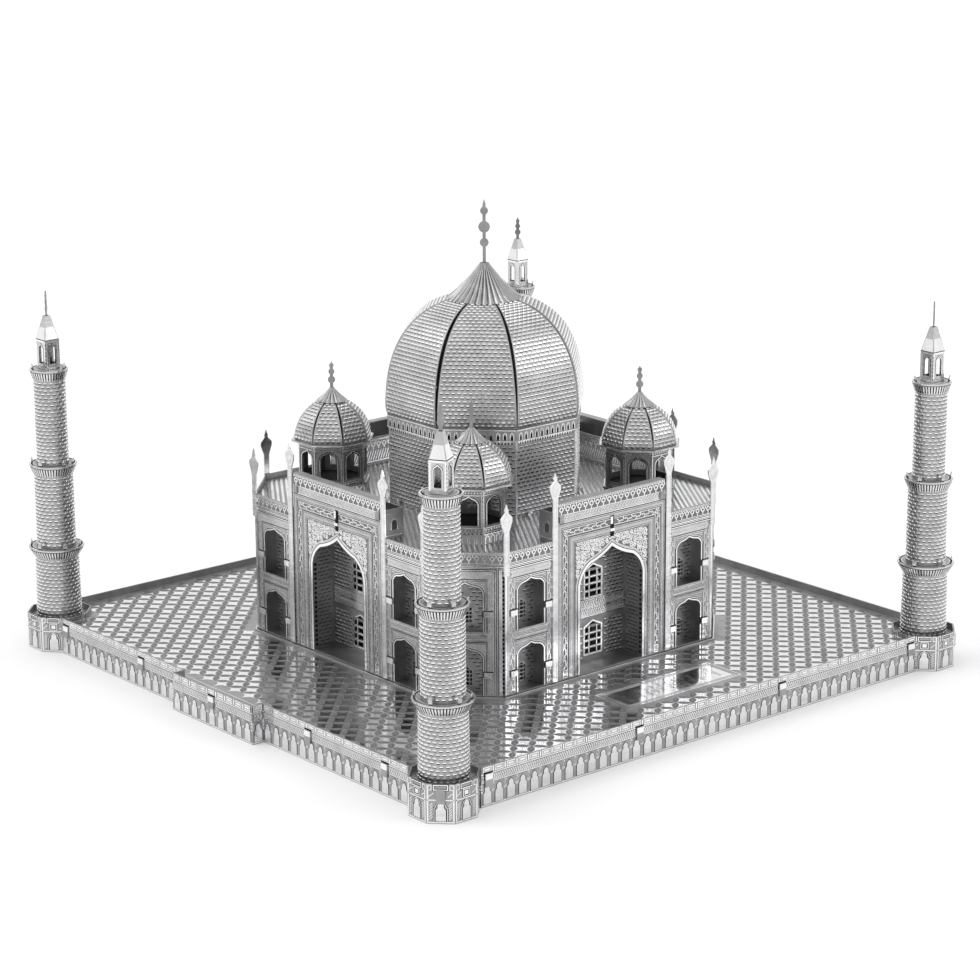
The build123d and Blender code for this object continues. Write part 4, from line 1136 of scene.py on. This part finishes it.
def make_cap(name, cad_node, middle, flutes, depth, radius, foot, tip):
    """Fluted conical cap with a scalloped rim, round the foot of a finial."""
    art = Relief(finish=CAP_STEEL)
    per_flute = 8
    rows = []
    for step in range(flutes * per_flute):
        out = heading(360 * step / (flutes * per_flute))
        dip = depth * (1 - abs(math.sin(math.pi * step / per_flute)))
        spots = []
        for share in (0.0, 0.25, 0.5, 0.75, 1.0):
            across = radius * (1 - 0.88 * share - 0.05 * math.sin(math.pi * share))
            up = foot + (tip - foot) * share ** 1.04 - dip * (1 - 0.65 * share)
            spots.append((across, up if share else up + 0.22 * dip))
        spots += [(across - 0.05, up - 0.28) for across, up in spots[:0:-1]]
        spots.append((radius - 0.32, spots[0][1] - 0.02))
        rows.append([Vector((*middle, max(up, foot))) + out * across for across, up in spots])
    art.loft(rows)
    piece(name, art, (cad_node,), 50)


def make_main_dome():
    """Drum, band, petals and cap over the middle of the building."""
    art = Relief()
    half = DRUM_APOTHEM * TAN_EIGHTH
    for turn in range(0, 360, 45):
        art.place = wall(turn, DRUM_APOTHEM)
        bricks(art, lambda v: half - 0.25, ROOF_TOP + 0.5, BAND_LOW.z - 0.8)
        for side in BOTH:
            art.bar(out_from(side, half - 0.16, half), (ROOF_TOP + 0.2, BAND_LOW.z))
    piece("dome_drum_bricks", art)

    art = Relief()
    low, high = BAND_LOW.z, BAND_HIGH.z
    arch = dict(width=0.72, sill=low + 0.42, spring=low + 1.35, apex=low + 2.0)
    band_half, count = BAND_HIGH.x * TAN_EIGHTH, 11
    for turn in range(0, 360, 45):
        art.place = wall(turn, BAND_HIGH.x)
        for vs in ((low + 0.05, low + 0.25), (high - 0.3, high - 0.1)):
            art.bar(about(0, band_half - 0.1), vs)
        for index in range(count):
            u = (index + 0.5 - count / 2) * (2 * band_half - 0.6) / count
            art.ribbon(shifted(arch_path(arch, 0.0, steps=3), u), 0.2)
            art.bar(about(u, 0.26), (low + 0.42, low + 1.3), FILM, finish=SHADOW)
            art.bar(about(u, 0.4), (low + 0.26, low + 0.36), FILM, finish=SHADOW)
        art.place = wall(turn, DRUM_APOTHEM)
        for index in range(int((2 * half - 0.6) / 0.7)):
            u = 0.65 - half + 0.7 * index
            art.prism([(u - 0.3, low - 0.05), (u, low - 0.65), (u + 0.3, low - 0.05)], 0.16)
            art.bar((u + 0.2, u + 0.5), (low - 0.65, low - 0.25), FILM, finish=SHADOW)
    piece("dome_band_ornament", art)

    make_dome("dome_brick_petals", "dome_petals", DOME, (0.0, 0.0), 0.4, 44,
              (1.25, 0.86), (0.92, 0.42), 0.12, 0.35)
    low, high = span("dome_cap")
    make_cap("dome_fluted_cap", "dome_cap", (0.0, 0.0), 32, 1.1, high.x, low.z, high.z)


def make_chhatris():
    """Trays, kiosks, eaves, domes and caps of the four chhatris."""
    low_cap, high_cap = span("chhatri_caps")
    kiosk, base, eave = (apothem * TAN_EIGHTH for apothem in (KIOSK_APOTHEM, BASE_APOTHEM, EAVE_APOTHEM))
    for name, corner in CORNERS.items():
        middle = tuple(heading(corner).xy * math.sqrt(2) * CHHATRI_AXIS)
        art = Relief()
        for turn in range(0, 360, 45):
            art.place = wall(turn, BASE_APOTHEM, middle)
            for index in range(4):
                arch = [(-0.5, 0.35), (-0.5, 1.6), (0.0, 2.1), (0.5, 1.6), (0.5, 0.35)]
                art.ribbon(shifted(arch, (index - 1.5) * 1.45, ROOF_TOP), 0.16)
            art.bar(about(0, base - 0.1), (BASE_TOP - 0.55, BASE_TOP - 0.35))
            art.place = wall(turn, KIOSK_APOTHEM, middle)
            art.outlined(arch_path(KIOSK_ARCH, 0.22, steps=4), 0.26)
            for side in BOTH:
                art.bar(out_from(side, kiosk - 0.3, kiosk - 0.06), (BASE_TOP + 0.1, KIOSK_TOP - 0.1))
                perforation(art, side * (kiosk - 0.1), (BASE_TOP + 0.2, KIOSK_TOP - 0.2), (0.3, 0.5))
            art.bar(about(0, kiosk - 0.35), (47.3, 47.5))
            art.bar(about(0, kiosk - 0.35), (40.3, 40.5))
            dots(art, about(0, kiosk - 0.5), 47.95, 0.62, 0.18)
            for index in range(-3, 4):
                art.bar(about(index * 0.72, 0.22), (39.75, 40.15))
            art.place = wall(turn, BASE_TRAY, middle)
            for index in range(-3, 4):
                art.bar(about(index * 0.86, 0.2), (BASE_TOP - 0.27, BASE_TOP - 0.05), FILM, finish=SHADOW)
            art.place = wall(turn, EAVE_APOTHEM, middle)
            art.bar(about(0, eave - 0.1), (KIOSK_TOP + 0.1, KIOSK_TOP + 0.3), 0.05)
        floor = octagon((KIOSK_APOTHEM - SHEET - 0.1) / COS_EIGHTH)
        art.place = level(BASE_TOP, middle)
        art.ribbon(octagon(BASE_TRAY / COS_EIGHTH - 0.3), 0.2, closed=True, height=0.05)
        art.prism(floor, 0.03, base=0.005, finish=SHADOW)
        art.place = level(KIOSK_TOP, middle)
        art.prism(floor, -0.02, base=-0.08, finish=SHADOW)
        art.place = level(KIOSK_TOP + 0.35, middle)
        art.ribbon(octagon(EAVE_APOTHEM / COS_EIGHTH - 0.35), 0.3, closed=True, height=0.05)
        piece(f"chhatri_{name}_ornament", art)

        make_dome(f"chhatri_{name}_brick_petals", f"chhatri_{name}_dome", SMALL_DOME, middle, 0.2, 24,
                  (1.2, 0.8), (0.88, 0.4), 0.06, 0.6)
        make_cap(f"chhatri_{name}_fluted_cap", "chhatri_caps", middle, 16, 0.6, high_cap.x - CHHATRI_AXIS,
                 low_cap.z, high_cap.z)


def make_roof_tabs():
    """Small bright tabs folded up round the drum."""
    art = Relief()
    for side in range(8):
        for u in (-5.0, 5.0):
            spot = wall(45 * side, DRUM_APOTHEM + 0.35)(u, ROOF_TOP, 0)
            ear(art, spot, 45 * side + 90 * (side % 2), 1.3, 1.2, 0.35)
    piece("roof_tabs", art)


# ---------------------------------------------------------------- finishes of the CAD sheets
# The niches and window linings take the darker lining steel, painted shade of their recesses.
FINISHES = {"portal_niches": LINING, "window_linings": LINING, "minaret_finials": LINING, "dome_finial": LINING,
            "chhatri_finials": LINING, "pinnacles": POLISHED}


def finish_frame():
    """Gives every CAD node its material."""
    for name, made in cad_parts.items():
        # The kiosk walls take the dark deep-etched steel, painted shade under the eaves.
        endings = {"_lantern": SATIN, "_kiosk": DEEP_ETCHED_AND_SHADE}
        finish = FINISHES.get(name) or next((endings[end] for end in endings if name.endswith(end)), ETCHED)
        made.data.materials.clear()
        made.data.materials.append(finish)


# ---------------------------------------------------------------- floor, light and camera
CAMERA = dict(azimuth=49.847, elevation=15.435, roll=-0.3, distance=658.84,
              target=(0.62, 0.74, 37.40), lens=110.33)
FLOOR_REACH = 4.0            # metres from the middle to an edge of the floor
LIGHTS = (("key", 131, 27, 0.4, 30), ("fill", -35, 45, 0.75, 50))  # name, turn, rise, energy, size


def bearing(turn, rise):
    """Unit vector that a turn faces, raised by an angle in degrees."""
    return heading(turn) * math.cos(math.radians(rise)) + Vector((0, 0, math.sin(math.radians(rise))))


def make_floor():
    """Plain pale floor under the model."""
    mesh = bpy.data.meshes.new("studio_floor")
    corners = oblong((-FLOOR_REACH, FLOOR_REACH), (-FLOOR_REACH, FLOOR_REACH))
    mesh.from_pydata([(x, y, 0) for x, y in corners], [], [(0, 1, 2, 3)])
    made, tree, shader = material("pale_floor")
    cloud = node(tree, "TexNoise", Scale=3.0, Detail=2.0)["Fac"]
    feed(tree, shader, Roughness=0.9, Specular_IOR_Level=0.1, Base_Color=greys(tree, cloud, (0, 0.95), (1, 0.97)))
    mesh.materials.append(made)
    floor = bpy.data.objects.new("studio_floor", mesh)
    bpy.context.scene.collection.objects.link(floor)


def make_world():
    """White studio with a dimmer side behind the camera, so that polished steel has something to show."""
    world = bpy.data.worlds.new("studio")
    bpy.context.scene.world = world
    world.use_nodes = True
    tree = world.node_tree
    toward = tree.nodes.new("ShaderNodeVectorMath")
    toward.operation = "DOT_PRODUCT"
    toward.inputs[1].default_value = bearing(CAMERA["azimuth"], 8)
    tree.links.new(node(tree, "TexCoord")["Generated"], toward.inputs[0])
    share = node(tree, "MapRange", Value=toward.outputs["Value"], From_Min=-1.0, From_Max=1.0)["Result"]
    feed(tree, tree.nodes["Background"], Strength=1.0,
         Color=greys(tree, share, (0.0, 1.05), (0.62, 0.9), (1.0, 0.97)))


def make_lights():
    """Soft key from the right, and a fill from the left."""
    for name, turn, rise, energy, size in LIGHTS:
        data = bpy.data.lights.new(name, "SUN")
        data.energy, data.angle = energy, math.radians(size)
        light = bpy.data.objects.new(name, data)
        light.rotation_mode = "QUATERNION"
        light.rotation_quaternion = bearing(turn, rise).to_track_quat("Z", "Y")
        bpy.context.scene.collection.objects.link(light)


def make_camera():
    """Camera at a three-quarter view, from the right of the front."""
    back = bearing(CAMERA["azimuth"], CAMERA["elevation"])
    right = heading(CAMERA["azimuth"] + 90)
    spot = (Vector(CAMERA["target"]) + back * CAMERA["distance"]) * MM
    turned = Matrix((right, back.cross(right), back)).transposed().to_4x4()
    data = bpy.data.cameras.new("camera")
    data.lens, data.sensor_width = CAMERA["lens"], 36.0
    camera = bpy.data.objects.new("camera", data)
    camera.matrix_world = Matrix.Translation(spot) @ turned @ Matrix.Rotation(math.radians(CAMERA["roll"]), 4, "Z")
    bpy.context.scene.collection.objects.link(camera)
    bpy.context.scene.camera = camera


bpy.context.scene.view_settings.view_transform = "Standard"
make_floor()
make_world()
make_lights()
make_camera()

finish_frame()
make_deck()
make_skirts()
make_turrets()
make_minarets()
make_facades()
make_niches()
make_floor_border()
make_roof()
make_returns()
make_pinnacles()
make_main_dome()
make_chhatris()
make_roof_tabs()

bpy.context.view_layer.update()
